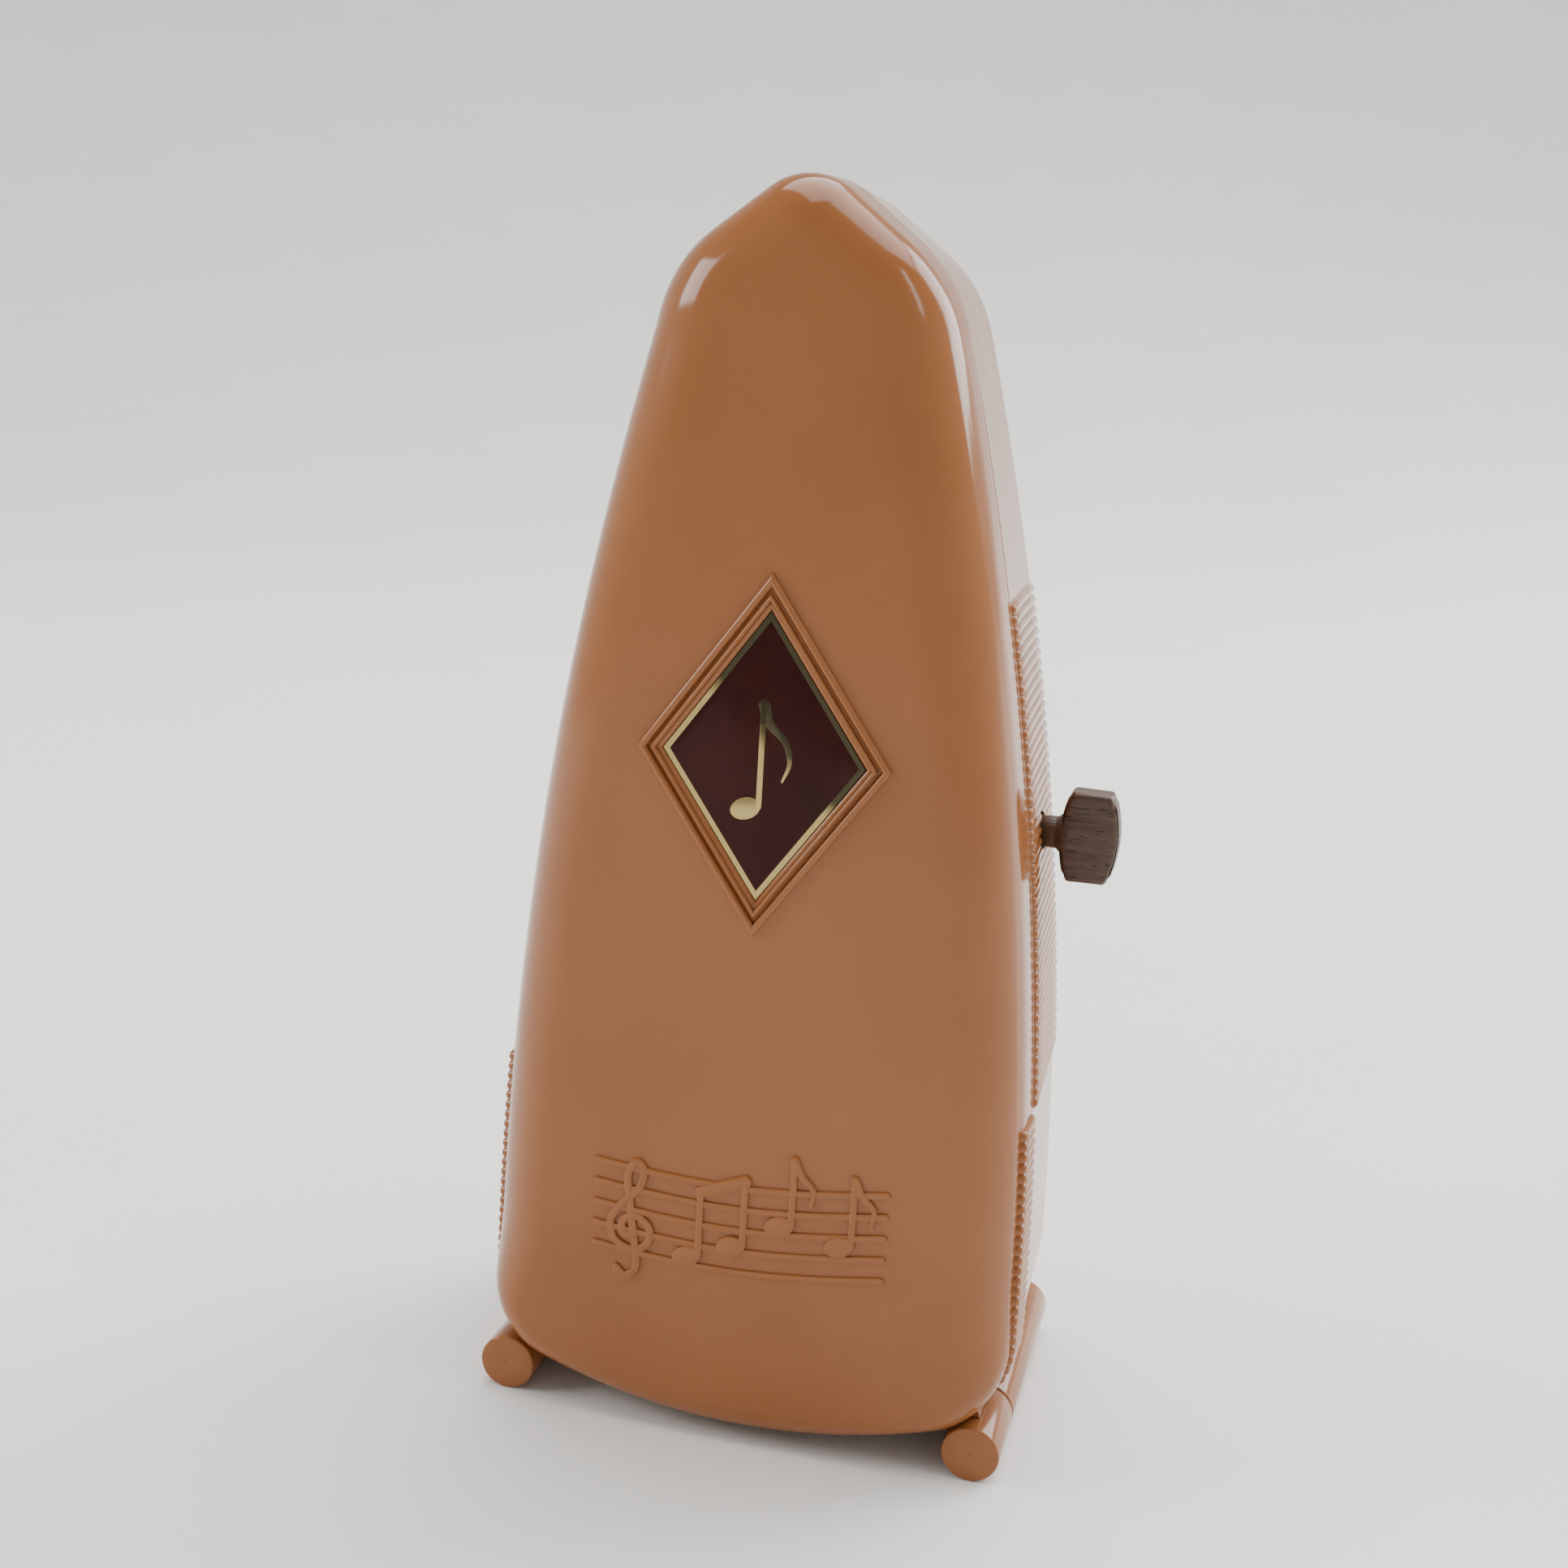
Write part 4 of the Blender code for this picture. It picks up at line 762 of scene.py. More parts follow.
def make_badge():
    """The gilt foil with its border, the enamel field on it, and one gilt quaver."""
    layers = [(2.66 * MM, 0.5 * MM), (2.64 * MM, 0.2 * MM), (2.7 * MM, 0.13 * MM)]
    foil = diamond_slab("badge_foil", layers, GOLD)
    finish_piece(foil, "cover", ["badge_plaque"])
    layers = [(3.36 * MM, 0.14 * MM), (3.36 * MM, 0.09 * MM), (3.42 * MM, 0.06 * MM)]
    field = diamond_slab("badge_field", layers, ENAMEL)
    finish_piece(field, "cover")
    face, sunk = 0.03 * MM, 0.1 * MM
    head = ellipse((-1.9 * MM, BADGE_Z - 6.4 * MM), 1.95 * MM, 1.35 * MM, math.radians(22))
    stem = ribbon([(-0.25 * MM, BADGE_Z - 6.0 * MM), (-0.25 * MM, BADGE_Z + 6.6 * MM)], 0.36 * MM)
    bends = ((-0.2, 6.5), (0.6, 4.3), (2.6, 2.3), (3.3, -0.2), (2.5, -2.6))
    flag_line = curve_points([(x * MM, BADGE_Z + z * MM) for x, z in bends])
    flag = ribbon(flag_line, np.linspace(0.75, 0.14, len(flag_line)) * MM)
    layers = ((head, face), (stem, 0.8 * face), (flag, 0.9 * face))
    shapes = [raised(shape, sunk, y, 0.03 * MM) for shape, y in layers]
    note = mesh_object("badge_note", *merge(shapes), GOLD)
    finish_piece(note, "cover")


# ---------------------------------------------------------------- the raised ornament


def on_face(points, faces):
    """Bends a flat shape back with the front face."""
    points = np.array(points)
    points[:, 1] += crown(points[:, 0])
    return points, faces


def clef_line():
    """A plain treble clef as one line, from its inner curl to its foot, around (0, 0)."""
    controls = [
        (0.3, -0.6), (-0.9, -0.3), (-1.0, 1.1), (0.5, 1.9), (2.1, 0.7), (1.9, -1.3), (0.1, -2.2),
        (-2.0, -1.2), (-2.4, 1.1), (-0.9, 3.4), (0.8, 5.3), (1.2, 7.5), (0.3, 8.3), (-0.6, 6.6),
        (-0.2, 3.0), (0.5, -1.6), (0.7, -4.4), (-0.5, -5.5), (-1.6, -4.7),
    ]
    return curve_points(controls, 8)


# Where the clef's line has come round its belly and starts up its loop: one ribbon never crosses itself.
CLEF_JOIN = 56


def make_ornament():
    """A raised stave with a clef and a few notes, in place of lettering."""
    sunk, proud, edge = 0.3 * MM, -0.45 * MM, 0.26 * MM
    shapes = []
    left, right, spacing, lowest = -19.0, 19.0, 2.9, 25.2

    def line_z(number, x):
        along = (x - left) / (right - left)
        return lowest + number * spacing + 1.6 * along - 1.4 * math.sin(math.pi * along)

    for number in range(5):
        path = [(x * MM, line_z(number, x) * MM) for x in np.linspace(left, right, 40)]
        shapes.append(raised(ribbon(path, 0.46 * MM), sunk, proud + 0.1 * MM, 0.2 * MM))
    clef_x, clef_scale = -14.0, 1.16
    clef = clef_line() * clef_scale + (clef_x, line_z(1, clef_x))
    shapes.append(raised(ribbon(clef[: CLEF_JOIN + 2] * MM, 0.56 * MM), sunk, proud, edge))
    shapes.append(raised(ribbon(clef[CLEF_JOIN:] * MM, 0.56 * MM), sunk, proud + 0.02 * MM, edge))
    tops = []
    for x, place in ((-6.4, 0.4), (-0.6, 1.2), (5.6, 2.4), (13.4, 1.6)):
        z = line_z(place, x)
        head = ellipse((x * MM, z * MM), 2.0 * MM, 1.45 * MM, math.radians(20))
        shapes.append(raised(head, sunk, proud - 0.03 * MM, edge))
        stem_x, top = x + 1.55, z + 9.2
        tops.append((stem_x, top))
        path = [(stem_x * MM, (z + 0.3) * MM), (stem_x * MM, top * MM)]
        shapes.append(raised(ribbon(path, 0.5 * MM), sunk, proud, edge))
    beam = np.array(tops[:2]) * MM
    shapes.append(raised(ribbon(beam, 0.85 * MM), sunk, proud - 0.01 * MM, edge))
    for stem_x, top in tops[2:]:
        bends = ((0, 0), (1.0, -1.9), (2.6, -3.6), (2.4, -5.8))
        hook = curve_points([(stem_x + across, top + up) for across, up in bends])
        widths = np.linspace(0.62, 0.3, len(hook)) * MM
        shapes.append(raised(ribbon(hook * MM, widths), sunk, proud - 0.015 * MM, edge))
    ornament = mesh_object("front_ornament", *on_face(*merge(shapes)), PLASTIC)
    finish_piece(ornament, "cover")


# ---------------------------------------------------------------- the housing


def housing_shell():
    stations = outline(UPPER_RIBS_Z)
    z = stations[:, 1]
    rim = HOUSING_RIM_Y
    end = back_y(z) - BACK_ROUND

    def draft(y):
        return BACK_DRAFT * (y - SEAM_Y) / (back_y(z) - SEAM_Y)

    rings = []

    def turn_in(start_inset, radius, reach):
        """Rings around the back edge, outwards in."""
        made = []
        for angle in np.linspace(0, math.pi / 2, 9):
            ring = inset_ring(stations, start_inset + radius * (1 - math.cos(angle)), 0)
            ring[:, 1] = back_y(ring[:, 2]) - reach - radius * (1 - math.sin(angle))
            made.append(ring)
        return made

    inner_radius = 0.6 * MM
    rings += turn_in(draft(back_y(z)) + WALL, inner_radius, WALL)[::-1]
    rings.append(inset_ring(stations, WALL + RIM_ROUND, rim + RIM_ROUND))
    rings.append(inset_ring(stations, WALL + RIM_ROUND * 1.3, rim))
    start = SEAM_Y + RIB_SETBACK
    wall = [rim, rim + 0.3 * RIM_ROUND, rim + RIM_ROUND]
    wall += [start + step for step in RIB_TIP_STEPS]
    wall += [start + (end - start) * share for share in (0.25, 0.5, 0.75)]
    wall += [end - step for step in RIB_TIP_STEPS[::-1]]
    for number, y in enumerate(wall):
        proud = rib_height(stations, y, start, end, UPPER_RIBS_Z)
        soften = (RIM_ROUND, 0.3 * RIM_ROUND)[number] if number < 2 else 0
        rings.append(inset_ring(stations, draft(y) + soften, y, proud))
    rings += turn_in(draft(end), BACK_ROUND, 0)[1:]
    return rings


def screw_places(names):
    """The middle of each screw's box, in the case's own frame, as (x, z)."""
    places = []
    for name in names:
        low, high = case_box(name)
        places.append(((low.x + high.x) / 2, (low.z + high.z) / 2))
    return places


POSTS = screw_places([f"scale_screw_{i}" for i in range(1, 5)])
BOSSES = screw_places([f"chassis_screw_{i}" for i in range(1, 5)])
KEY_LOW, KEY_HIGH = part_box("winding_key")
KEY_Y = (KEY_LOW.y + KEY_HIGH.y) / 2 - CASE_Y
KEY_Z = (KEY_LOW.z + KEY_HIGH.z) / 2
SCREW_RADIUS = 0.9 * MM
HEAD_RADIUS = 1.9 * MM


def make_housing():
    housing = mesh_object("rear_housing_shell", *loft(housing_shell()), PLASTIC)
    chassis_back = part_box("chassis")[1].y - CASE_Y
    plate_back = PLATE_HIGH.y - CASE_Y
    shank, head = SCREW_RADIUS + 0.1 * MM, HEAD_RADIUS + 0.25 * MM
    hole, mouth = 2.5 * MM, 3.2 * MM
    added = add_webs(HOUSING_RIM_Y, BACK_Y - 1.8 * MM)
    profile = [(0, hole), (5.1 * MM, hole), (6.3 * MM, mouth), (12 * MM, mouth)]
    removed = [drum((28 * MM, KEY_Y, KEY_Z), (40 * MM, KEY_Y, KEY_Z), profile)]
    removed += channel_cutters(SEAM_Y - 3 * MM, BACK_Y + 4 * MM)
    for x, z in POSTS:
        added.append(pin((x, plate_back + 0.4 * MM, z), (x, back_y(z) - WALL / 2, z), 2.5 * MM, 0.2 * MM))
        removed.append(pin((x, plate_back - 1 * MM, z), (x, plate_back + 6 * MM, z), shank, count=24))
    for x, z in BOSSES:
        added.append(pin((x, chassis_back + 0.3 * MM, z), (x, back_y(z) - WALL / 2, z), 3.0 * MM))
        start, seat = chassis_back - 2 * MM, back_y(z) - 1.0 * MM
        steps = [(0, shank), (seat - start, shank), (seat - start, head), (seat - start + 5 * MM, head)]
        removed.append(drum((x, start, z), (x, BACK_Y, z), steps, 40))
    combine(housing, helper(added), "UNION")
    combine(housing, helper(removed), "DIFFERENCE")
    smooth(housing, 35)
    finish_piece(housing, "case", ["rear_housing"])


# ---------------------------------------------------------------- feet and key


def foot_rod(x, y_low, y_high):
    """A rod along y with a narrow flat below, rounded ends and a gate mark in the middle of its front."""
    flat = math.asin(FOOT_FLAT / 2 / FOOT_RADIUS)
    angles = np.linspace(-math.pi / 2 + flat, 3 * math.pi / 2 - flat, 60)
    profile = [(0.1 * MM, 0.1 * MM), (0.02 * MM, 0.22 * MM), (0, 0.3 * MM)]
    ends = [(along, FOOT_RADIUS - inset) for along, inset in rounding(0.28 * MM)]
    profile += ends + [(y_high - y_low - along, radius) for along, radius in ends[::-1]]
    rings = []
    for along, radius in profile:
        across, up = x + np.cos(angles) * radius, FOOT_Z + np.sin(angles) * radius
        rings.append(np.stack([across, np.full(len(angles), y_low + along), up], axis=1))
    return loft(rings)


def make_feet():
    for word, side in (("left", -1), ("right", 1)):
        for place, body in (("front", "cover"), ("rear", "case")):
            node = f"{place}_{word}_foot"
            low, high = case_box(node)
            start = FOOT_FRONT_Y if place == "front" else low.y
            foot = mesh_object(node + "_rod", *foot_rod(side * FOOT_X, start, high.y), PLASTIC, 50)
            finish_piece(foot, body, [node])


def rounded_rectangle(half_y, half_z, corner, count=9):
    points = []
    for centre_y, centre_z, start in ((1, 1, 0), (-1, 1, 90), (-1, -1, 180), (1, -1, 270)):
        middle_y, middle_z = centre_y * (half_y - corner), centre_z * (half_z - corner)
        for angle in np.radians(np.linspace(start, start + 90, count)):
            points.append((middle_y + corner * math.cos(angle), middle_z + corner * math.sin(angle)))
    return np.array(points)


def subdivided(points, longest):
    """The same closed outline with its long sides cut into short stretches."""
    made = []
    for here, after in zip(points, np.roll(points, -1, axis=0)):
        steps = max(1, int(math.ceil(np.linalg.norm(after - here) / longest)))
        made += [here + (after - here) * i / steps for i in range(steps)]
    return np.array(made)


def make_key():
    """A wooden block with bowed ends on a short neck, over the winding arbor."""
    outer_x, half_z = KEY_HIGH.x - CASE_X, (KEY_HIGH.z - KEY_LOW.z) / 2
    half_y = (KEY_HIGH.y - KEY_LOW.y) / 2
    inner_x = outer_x - 7.8 * MM
    bulge, edge, taper = 1.1 * MM, 0.55 * MM, 0.25 * MM
    section = subdivided(rounded_rectangle(half_y, half_z, 0.7 * MM), 0.5 * MM)
    middle = (inner_x + outer_x) / 2

    def end_ring(way, scale, inset):
        """A ring on one bowed end, drawn in towards the middle by the scale."""
        y, z = section[:, 0] * scale, section[:, 1] * scale
        reach = (outer_x - inner_x) / 2 - bulge * (z / half_z) ** 2 - 0.35 * bulge * (y / half_y) ** 2 * 0.5
        return np.stack([middle + way * (reach - inset), KEY_Y + y, KEY_Z + z], axis=1)

    def rounded_end(way):
        """The rings of one end, from its middle out over the edge."""
        made = [end_ring(way, scale, 0) for scale in (0.02, 0.2, 0.4, 0.6, 0.8)]
        for inset, drawn_in in rounding(edge, count=6):
            ring = end_ring(way, 1.0, inset)
            ring[:, 1] = KEY_Y + section[:, 0] * (half_y - drawn_in) / half_y
            ring[:, 2] = KEY_Z + section[:, 1] * (half_z - drawn_in) / half_z
            made.append(ring)
        return made

    near, far = end_ring(-1, 1.0, edge), end_ring(1, 1.0, edge)
    rings = rounded_end(-1) + [near + (far - near) * share for share in (0.25, 0.5, 0.75)]
    rings += rounded_end(1)[::-1]
    for ring in rings:
        share = (ring[:, 0] - inner_x) / (outer_x - inner_x)
        ring[:, 2] = KEY_Z + (ring[:, 2] - KEY_Z) * (1 - taper * share / half_z * 0.5)
    key = mesh_object("winding_key_block", *loft(rings), WALNUT, 60)
    neck_start = KEY_LOW.x - CASE_X
    length, thick = inner_x - neck_start, 2.1 * MM
    neck = [(0, 1.75 * MM), (0.2 * MM, 2.0 * MM), (2.6 * MM, thick), (length - 0.3 * MM, thick)]
    neck += [(length + 0.1 * MM, 2.5 * MM), (length + 1.2 * MM, 2.5 * MM)]
    combine(key, helper([drum((neck_start, KEY_Y, KEY_Z), (inner_x, KEY_Y, KEY_Z), neck)]), "UNION")
    bore = pin((neck_start - 2 * MM, KEY_Y, KEY_Z), (neck_start + 3.4 * MM, KEY_Y, KEY_Z), 1.2 * MM)
    cut_piece(key, [bore], WALNUT, 50)
    finish_piece(key, "winding", ["winding_key"])


# ---------------------------------------------------------------- behind the cover


def make_bezel():
    """The lip that the cover slides over."""
    stations = outline(LOWER_RIBS_Z)
    low, high = case_box("inner_bezel")
    outer, inner, edge = 2.2 * MM, 3.4 * MM, 0.25 * MM
    lip = soft_edge(low.y, edge)
    section = [(outer, high.y)] + [(outer + inset, y) for inset, y in lip]
    section += [(inner - inset, y) for inset, y in lip[::-1]] + [(inner, high.y)]
    rings = [inset_ring(stations, inset, y) for inset, y in section]
    bezel = mesh_object("inner_bezel_lip", *loft(rings, wrap=True), PLASTIC)
    finish_piece(bezel, "case", ["inner_bezel"])


def printed(text, size, x, z, y):
    """Raised printing, standing on a plane that faces the front."""
    curve = bpy.data.curves.new("print", "FONT")
    curve.body = text
    curve.size = size
    curve.align_x = "CENTER"
    curve.align_y = "CENTER"
    curve.extrude = 0.02 * MM
    curve.resolution_u = 4
    obj = bpy.data.objects.new("print", curve)
    bpy.context.scene.collection.objects.link(obj)
    obj.matrix_world = Matrix.Translation((x, y, z)) @ Matrix.Rotation(math.pi / 2, 4, "X")
    bpy.context.view_layer.update()
    graph = bpy.context.evaluated_depsgraph_get()
    mesh = bpy.data.meshes.new_from_object(obj.evaluated_get(graph))
    mesh.transform(obj.matrix_world)
    points = [tuple(v.co) for v in mesh.vertices]
    faces = [tuple(p.vertices) for p in mesh.polygons]
    bpy.data.objects.remove(obj)
    return points, faces


# The tempos of a metronome's scale, in beats a minute: steps of 2, 3, 4, 6 and 8.
SCALE_NUMBERS = (
    *range(40, 60, 2), *range(60, 72, 3), *range(72, 112, 4), 112, *range(120, 144, 6), *range(144, 209, 8)
)


def bar(x_low, x_high, z_low, z_high, y_back, y_front):
    corners = [(x_low, z_low), (x_high, z_low), (x_high, z_high), (x_low, z_high)]
    return sheet(corners, y_back, y_front)


# The window in the scale plate that the verge passes through, about the pendulum's axis.
PIVOT_Z = sum(corner.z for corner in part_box("verge_arbor")) / 2
WINDOW_HALF = (8.0 * MM, 8.0 * MM)
WINDOW_RISE = 1.0 * MM


def make_scale():
    """The enamelled scale plate with its tempo numbers and lines."""
    stations = outline(LOWER_RIBS_Z)
    front, back = PLATE_LOW.y - CASE_Y, PLATE_HIGH.y - CASE_Y
    inset = 3.8 * MM
    steps = [(0, back), *soft_edge(front, 0.15 * MM)]
    rings = [inset_ring(stations, inset + amount, y) for amount, y in steps]
    plate = mesh_object("scale_plate_face", *loft(rings), IVORY)
    holes = [pin((x, front - 1 * MM, z), (x, back + 1 * MM, z), 1.15 * MM, count=32) for x, z in POSTS]
    window = rounded_rectangle(*WINDOW_HALF, 1.2 * MM) + (0, PIVOT_Z + WINDOW_RISE)
    holes.append(sheet(window, front - 1 * MM, back + 1 * MM))
    cut_piece(plate, holes, IVORY)
    finish_piece(plate, "case", ["scale_plate"])

    slowest_z, fastest_z = 131.0 * MM, 82.0 * MM
    ink_back, ink_front = front + 0.01 * MM, front - 0.03 * MM
    short_x, long_x, number_x = 2.6 * MM, 6.6 * MM, 9.2 * MM
    thin, overrun = 0.1 * MM, 1.5 * MM
    lines, numbers = [], []
    for i, tempo in enumerate(SCALE_NUMBERS):
        share = math.log(tempo / SCALE_NUMBERS[0]) / math.log(SCALE_NUMBERS[-1] / SCALE_NUMBERS[0])
        z = slowest_z + (fastest_z - slowest_z) * share
        side = -1 if i % 2 == 0 else 1
        ends = sorted((side * short_x, side * long_x))
        lines.append(bar(*ends, z - 0.9 * thin, z + 0.9 * thin, ink_back, ink_front))
        numbers.append(printed(str(tempo), 2.3 * MM, side * number_x, z, front))
    for x in (thin - short_x, short_x - thin):
        heights = (fastest_z - overrun, slowest_z + overrun)
        lines.append(bar(x - thin, x + thin, *heights, ink_back, ink_front))
    far, near = inset + 1.5 * MM, inset + 1.75 * MM
    corners = ((far, ink_back), (far, ink_front), (near, ink_front), (near, ink_back))
    lines.append(loft([inset_ring(stations, amount, y) for amount, y in corners], wrap=True))
    ink = mesh_object("scale_printing", *merge(lines + numbers), INK)
    finish_piece(ink, "case")


def slotted_head(middle, way, length, node):
    """A cheese-head screw with a cut slot and a softened rim: its head faces -y or +y."""
    x, y, z = middle
    radius, head, rim = HEAD_RADIUS, 1.1 * MM, 0.18 * MM
    profile = [(0, radius - rim), (rim * 0.3, radius - rim * 0.3), (rim, radius), (head, radius)]
    profile += [(head, SCREW_RADIUS), (length - 0.5 * MM, SCREW_RADIUS), (length, SCREW_RADIUS * 0.3)]
    screw = mesh_object(node + "_turned", *drum((x, y, z), (x, y - way, z), profile, 32), STEEL)
    reach, half = radius * 1.2, 0.22 * MM
    turn = 0.6 + 2.3 * x / MM
    slot = [rotated(u, v, turn) for u, v in ((-reach, -half), (reach, -half), (reach, half), (-reach, half))]
    cutter = sheet([(x + u, z + v) for u, v in slot], y + way * 1 * MM, y - way * 0.5 * MM)
    cut_piece(screw, [cutter], STEEL)
    finish_piece(screw, "case", [node])


def make_screws():
    for group, places, way in (("scale_screw", POSTS, -1), ("chassis_screw", BOSSES, 1)):
        for number, (x, z) in enumerate(places, 1):
            node = f"{group}_{number}"
            low, high = case_box(node)
            slotted_head((x, low.y if way < 0 else high.y, z), way, high.y - low.y, node)


# ---------------------------------------------------------------- the pendulum


def make_rod():
    """The steel strip with its notches up one edge and the verge's hole."""
    low, high = case_box("pendulum_rod")
    half, notch, pitch, first = (high.x - low.x) / 2, 0.4 * MM, 5.0 * MM, 22.0 * MM
    outline_points = [(half, low.z + 0.3 * MM)]
    for i in range(12):
        z = PIVOT_Z + first + i * pitch
        for angle in np.linspace(-math.pi / 2, math.pi / 2, 7):
            outline_points.append((half - notch * math.cos(angle), z + 0.5 * MM * math.sin(angle)))
    for angle in np.linspace(0, math.pi, 13):
        outline_points.append((half * math.cos(angle), high.z - half + half * math.sin(angle)))
    outline_points += [(-half, low.z + 0.3 * MM), (-half + 0.3 * MM, low.z), (half - 0.3 * MM, low.z)]
    rod = mesh_object("pendulum_rod_strip", *slab(outline_points, low.y, high.y, 0.08 * MM), STEEL)
    hole = pin((0, low.y - 1 * MM, PIVOT_Z), (0, high.y + 1 * MM, PIVOT_Z), 1.1 * MM)
    cut_piece(rod, [hole], STEEL)
    finish_piece(rod, "pendulum", ["pendulum_rod"])


def turned_on_y(name, node, profile, finish, cutters=(), from_back=False, count=48):
    """A piece turned about a line along y, in place of a node and on the middle of its box."""
    low, high = case_box(node)
    z = (low.z + high.z) / 2
    ends = [(0, low.y, z), (0, high.y, z)]
    if from_back:
        ends.reverse()
    obj = mesh_object(name, *drum(*ends, profile, count), finish)
    if cutters:
        cut_piece(obj, cutters, finish)
    finish_piece(obj, "pendulum", [node])


def make_weights():
    """The two cast discs, each turned with a rim and a dished middle, the rivet and the hub."""
    rim, edge = 0.7 * MM, 0.3 * MM
    for node, from_back in (("front_counterweight", False), ("rear_counterweight", True)):
        low, high = case_box(node)
        radius, depth = (high.z - low.z) / 2, high.y - low.y
        profile = [(0.35 * MM, 0.4 * MM), (0.35 * MM, radius * 0.62), (0.05 * MM, radius * 0.66)]
        profile += [(0, radius * 0.7), (0, radius - rim)]
        profile += [(along, radius - inset) for along, inset in rounding(rim, 0.2, 6)]
        profile += [(depth - edge, radius), (depth, radius - edge)]
        turned_on_y(node + "_disc", node, profile, CAST, from_back=from_back, count=96)
    low, high = case_box("weight_rivet")
    radius, depth = (high.z - low.z) / 2, high.y - low.y
    angles = np.linspace(0.1, math.pi / 2, 9)
    dome = [(depth * 0.7 * (1 - math.cos(a)), radius * math.sin(a)) for a in angles] + [(depth, radius)]
    turned_on_y("weight_rivet_dome", "weight_rivet", dome, BRASS)
    low, high = case_box("pendulum_hub")
    radius, depth = (high.z - low.z) / 2, high.y - low.y
    profile = [(0, radius - edge), (0.1 * MM, radius - 0.1 * MM), (edge, radius), (0.9 * MM, radius)]
    profile += [(1.0 * MM, radius - 0.2 * MM), (1.3 * MM, radius - 0.2 * MM), (1.4 * MM, radius)]
    profile += [(depth - edge, radius), (depth, radius - edge)]
    bore = pin((0, low.y - 1 * MM, PIVOT_Z), (0, high.y + 1 * MM, PIVOT_Z), 1.0 * MM)
    turned_on_y("pendulum_hub_turned", "pendulum_hub", profile, BRASS, [bore])


def make_bob():
    """The brass sliding weight: a tapered block with softened edges, engraved lines and the rod's slot."""
    low, high = case_box("bob")
    rod_low, rod_high = case_box("pendulum_rod")
    top, bottom, corner = (high.x - low.x) / 2, (high.x - low.x) / 2 - 1.8 * MM, 0.7 * MM
    outline_points = []
    for x, z, start in ((top, high.z, 0), (-top, high.z, 90), (-bottom, low.z, 180), (bottom, low.z, 270)):
        centre_x, centre_z = x - math.copysign(corner, x), z + (corner if z == low.z else -corner)
        for a in np.radians(np.linspace(start, start + 90, 7)):
            outline_points.append((centre_x + corner * math.cos(a), centre_z + corner * math.sin(a)))
    bob = mesh_object("bob_block", *slab(outline_points, low.y, high.y, 0.35 * MM), BRASS)
    slot_half, slot_front = (rod_high.x - rod_low.x) / 2 + 0.25 * MM, rod_low.y - 0.25 * MM
    cutters = [bar(-slot_half, slot_half, low.z - 1 * MM, high.z + 1 * MM, slot_front, high.y + 1 * MM)]
    for z in (high.z - 1.6 * MM, high.z - 2.5 * MM, low.z + 1.6 * MM):
        groove = [(low.y - 0.2 * MM, z - 0.22 * MM), (low.y + 0.2 * MM, z), (low.y - 0.2 * MM, z + 0.22 * MM)]
        cutters.append(loft([[(x, y, up) for y, up in groove] for x in (-top - 1 * MM, top + 1 * MM)]))
    cut_piece(bob, cutters, BRASS, 30)
    finish_piece(bob, "sliding_bob", ["bob"])
    low, high = case_box("bob_spring")
    half = (high - low) / 2
    leaf = rounded_rectangle(half.x, half.z, 0.5 * MM) + (low.x + half.x, low.z + half.z)
    spring = mesh_object("bob_spring_leaf", *slab(leaf, low.y, high.y, 0.06 * MM), SPRING)
    finish_piece(spring, "sliding_bob", ["bob_spring"])


def make_catch():
    """The bent steel clip that holds the rod's tip: a plate with rounded corners on a narrow foot."""
    low, high = case_box("pendulum_catch")
    half = (high - low) / 2
    plate = rounded_rectangle(half.x, half.z, 0.9 * MM) + (0, low.z + half.z)
    catch = mesh_object("pendulum_catch_plate", *slab(plate, low.y, low.y + 0.8 * MM, 0.12 * MM), STEEL)
    foot = rounded_rectangle(half.x / 2, 0.45 * MM, 0.15 * MM) + (0, low.z + 1.05 * MM)
    combine(catch, helper([sheet(foot, low.y + 0.3 * MM, high.y)]), "UNION")
    hole_z = high.z - 1.7 * MM
    cut_piece(catch, [pin((0, low.y - 1 * MM, hole_z), (0, low.y + 2 * MM, hole_z), 0.7 * MM)], STEEL)
    finish_piece(catch, "case", ["pendulum_catch"])


def paint_frame():
    """Gives every CAD node that still shows the paint of its material slot."""
    slot_of = {part["node"]: part["material_slot"] for part in frame["record"]["subparts"]}
    for name, obj in frame["nodes"].items():
        if not obj.hide_render:
            obj.data.materials.clear()
            obj.data.materials.append(SLOT_PAINT[slot_of[name]])


# ---------------------------------------------------------------- room, light and camera


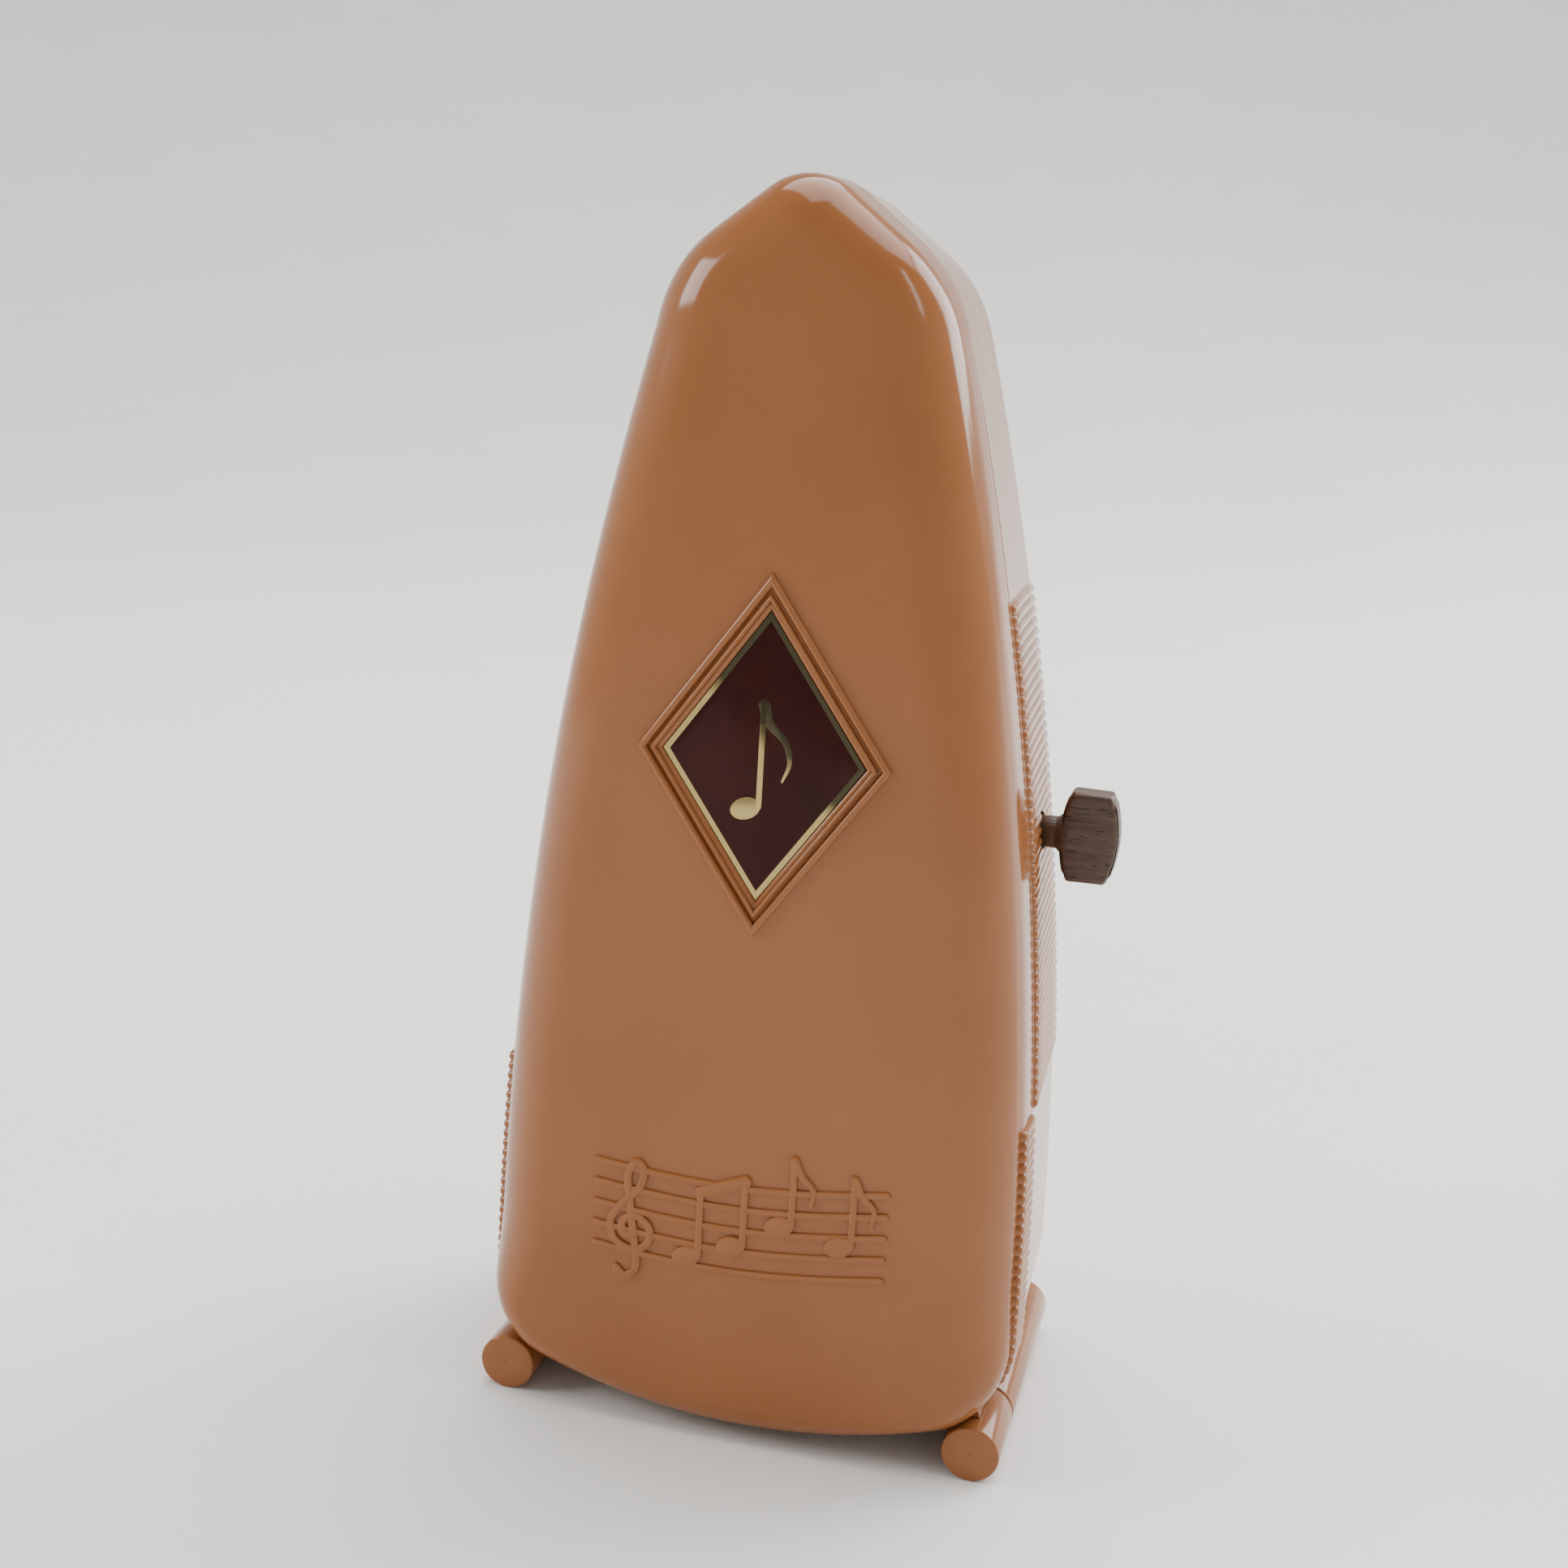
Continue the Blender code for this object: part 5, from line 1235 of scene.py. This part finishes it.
def make_room():
    """A pale floor that turns up into a wall all round, so that it has no edge in any view."""
    flat, turn, height = 0.9, 1.3, 0.6
    profile = [(0.02, 0), (0.3, 0), (0.7, 0), (flat, 0)]
    bend = np.linspace(0.1, math.pi / 2, 12)
    profile += [(flat + turn * math.sin(a), turn * (1 - math.cos(a))) for a in bend]
    profile.append((flat + turn, turn + height))
    count = 96
    around = [2 * math.pi * i / count for i in range(count)]
    points = [(r * math.cos(a), r * math.sin(a), h) for r, h in profile for a in around]
    faces = [tuple(range(count))[::-1]]
    for k in range(len(profile) - 1):
        for i in range(count):
            j = (i + 1) % count
            faces.append((k * count + i, k * count + j, (k + 1) * count + j, (k + 1) * count + i))
    mesh = bpy.data.meshes.new("floor")
    mesh.from_pydata(points, [], faces)
    light, dark = (0.80, 0.79, 0.765), (0.785, 0.775, 0.75)
    made, tree, shader = new_material("pale_paper", light, 0.7)
    here = coordinates(tree)
    tone = remap(tree, noise(tree, here, 14, 3), 0.35, 0.65, 0, 1)
    tree.links.new(mix_colour(tree, tone, light, dark), shader.inputs["Base Color"])
    bump(tree, shader, [(noise(tree, here, 900, 2), 0.05 * MM)])
    mesh.materials.append(made)
    floor = bpy.data.objects.new("floor", mesh)
    bpy.context.scene.collection.objects.link(floor)
    floor.data.shade_smooth()


def area_light(name, location, target, size, energy, colour):
    light = bpy.data.lights.new(name, "AREA")
    light.shape = "RECTANGLE"
    light.size, light.size_y = size
    light.energy = energy
    light.color = colour
    obj = bpy.data.objects.new(name, light)
    obj.location = location
    obj.rotation_euler = (Vector(target) - Vector(location)).to_track_quat("-Z", "Y").to_euler()
    bpy.context.scene.collection.objects.link(obj)


def make_lights():
    world = bpy.data.worlds.new("room_light")
    world.use_nodes = True
    background = world.node_tree.nodes["Background"]
    background.inputs["Color"].default_value = (0.93, 0.95, 1.0, 1)
    background.inputs["Strength"].default_value = 0.30
    bpy.context.scene.world = world
    middle = (0, 0, 0.08)
    area_light("back_window", (0.80, 0.85, 0.70), middle, (0.7, 0.8), 15.0, (0.95, 0.97, 1.0))
    area_light("ceiling", (0.1, 0.45, 1.35), (0, 0.35, 0), (1.5, 1.5), 37.0, (1.0, 0.99, 0.97))
    area_light("left_window", (-0.80, -0.24, 0.44), (0, 0, 0.14), (0.46, 0.34), 5.0, (0.97, 0.98, 1.0))
    area_light("right_strip", (0.70, -0.12, 0.58), (0, 0, 0.14), (0.07, 0.40), 0.8, (1.0, 0.99, 0.97))


def make_camera():
    camera = bpy.data.cameras.new("camera")
    camera.sensor_width = 36.0
    camera.lens = 45.98
    camera.clip_start = 0.01
    camera.clip_end = 20.0
    obj = bpy.data.objects.new("camera", camera)
    right = Vector((0.9631, 0.2626, 0.0582))
    forward = Vector((-0.2425, 0.9414, -0.2346)).normalized()
    right = (right - forward * right.dot(forward)).normalized()
    up = right.cross(forward)
    turn = Matrix((right, up, -forward)).transposed().to_4x4()
    place = Vector((60.94 * MM + CASE_X, -225.78 * MM + CASE_Y, 145.37 * MM))
    obj.matrix_world = Matrix.Translation(place) @ turn
    bpy.context.scene.collection.objects.link(obj)
    bpy.context.scene.camera = obj


make_camera()
make_lights()
make_room()
make_cover()
make_badge()
make_ornament()
make_housing()
make_feet()
make_key()
make_bezel()
make_scale()
make_screws()
make_rod()
make_weights()
make_bob()
make_catch()
paint_frame()
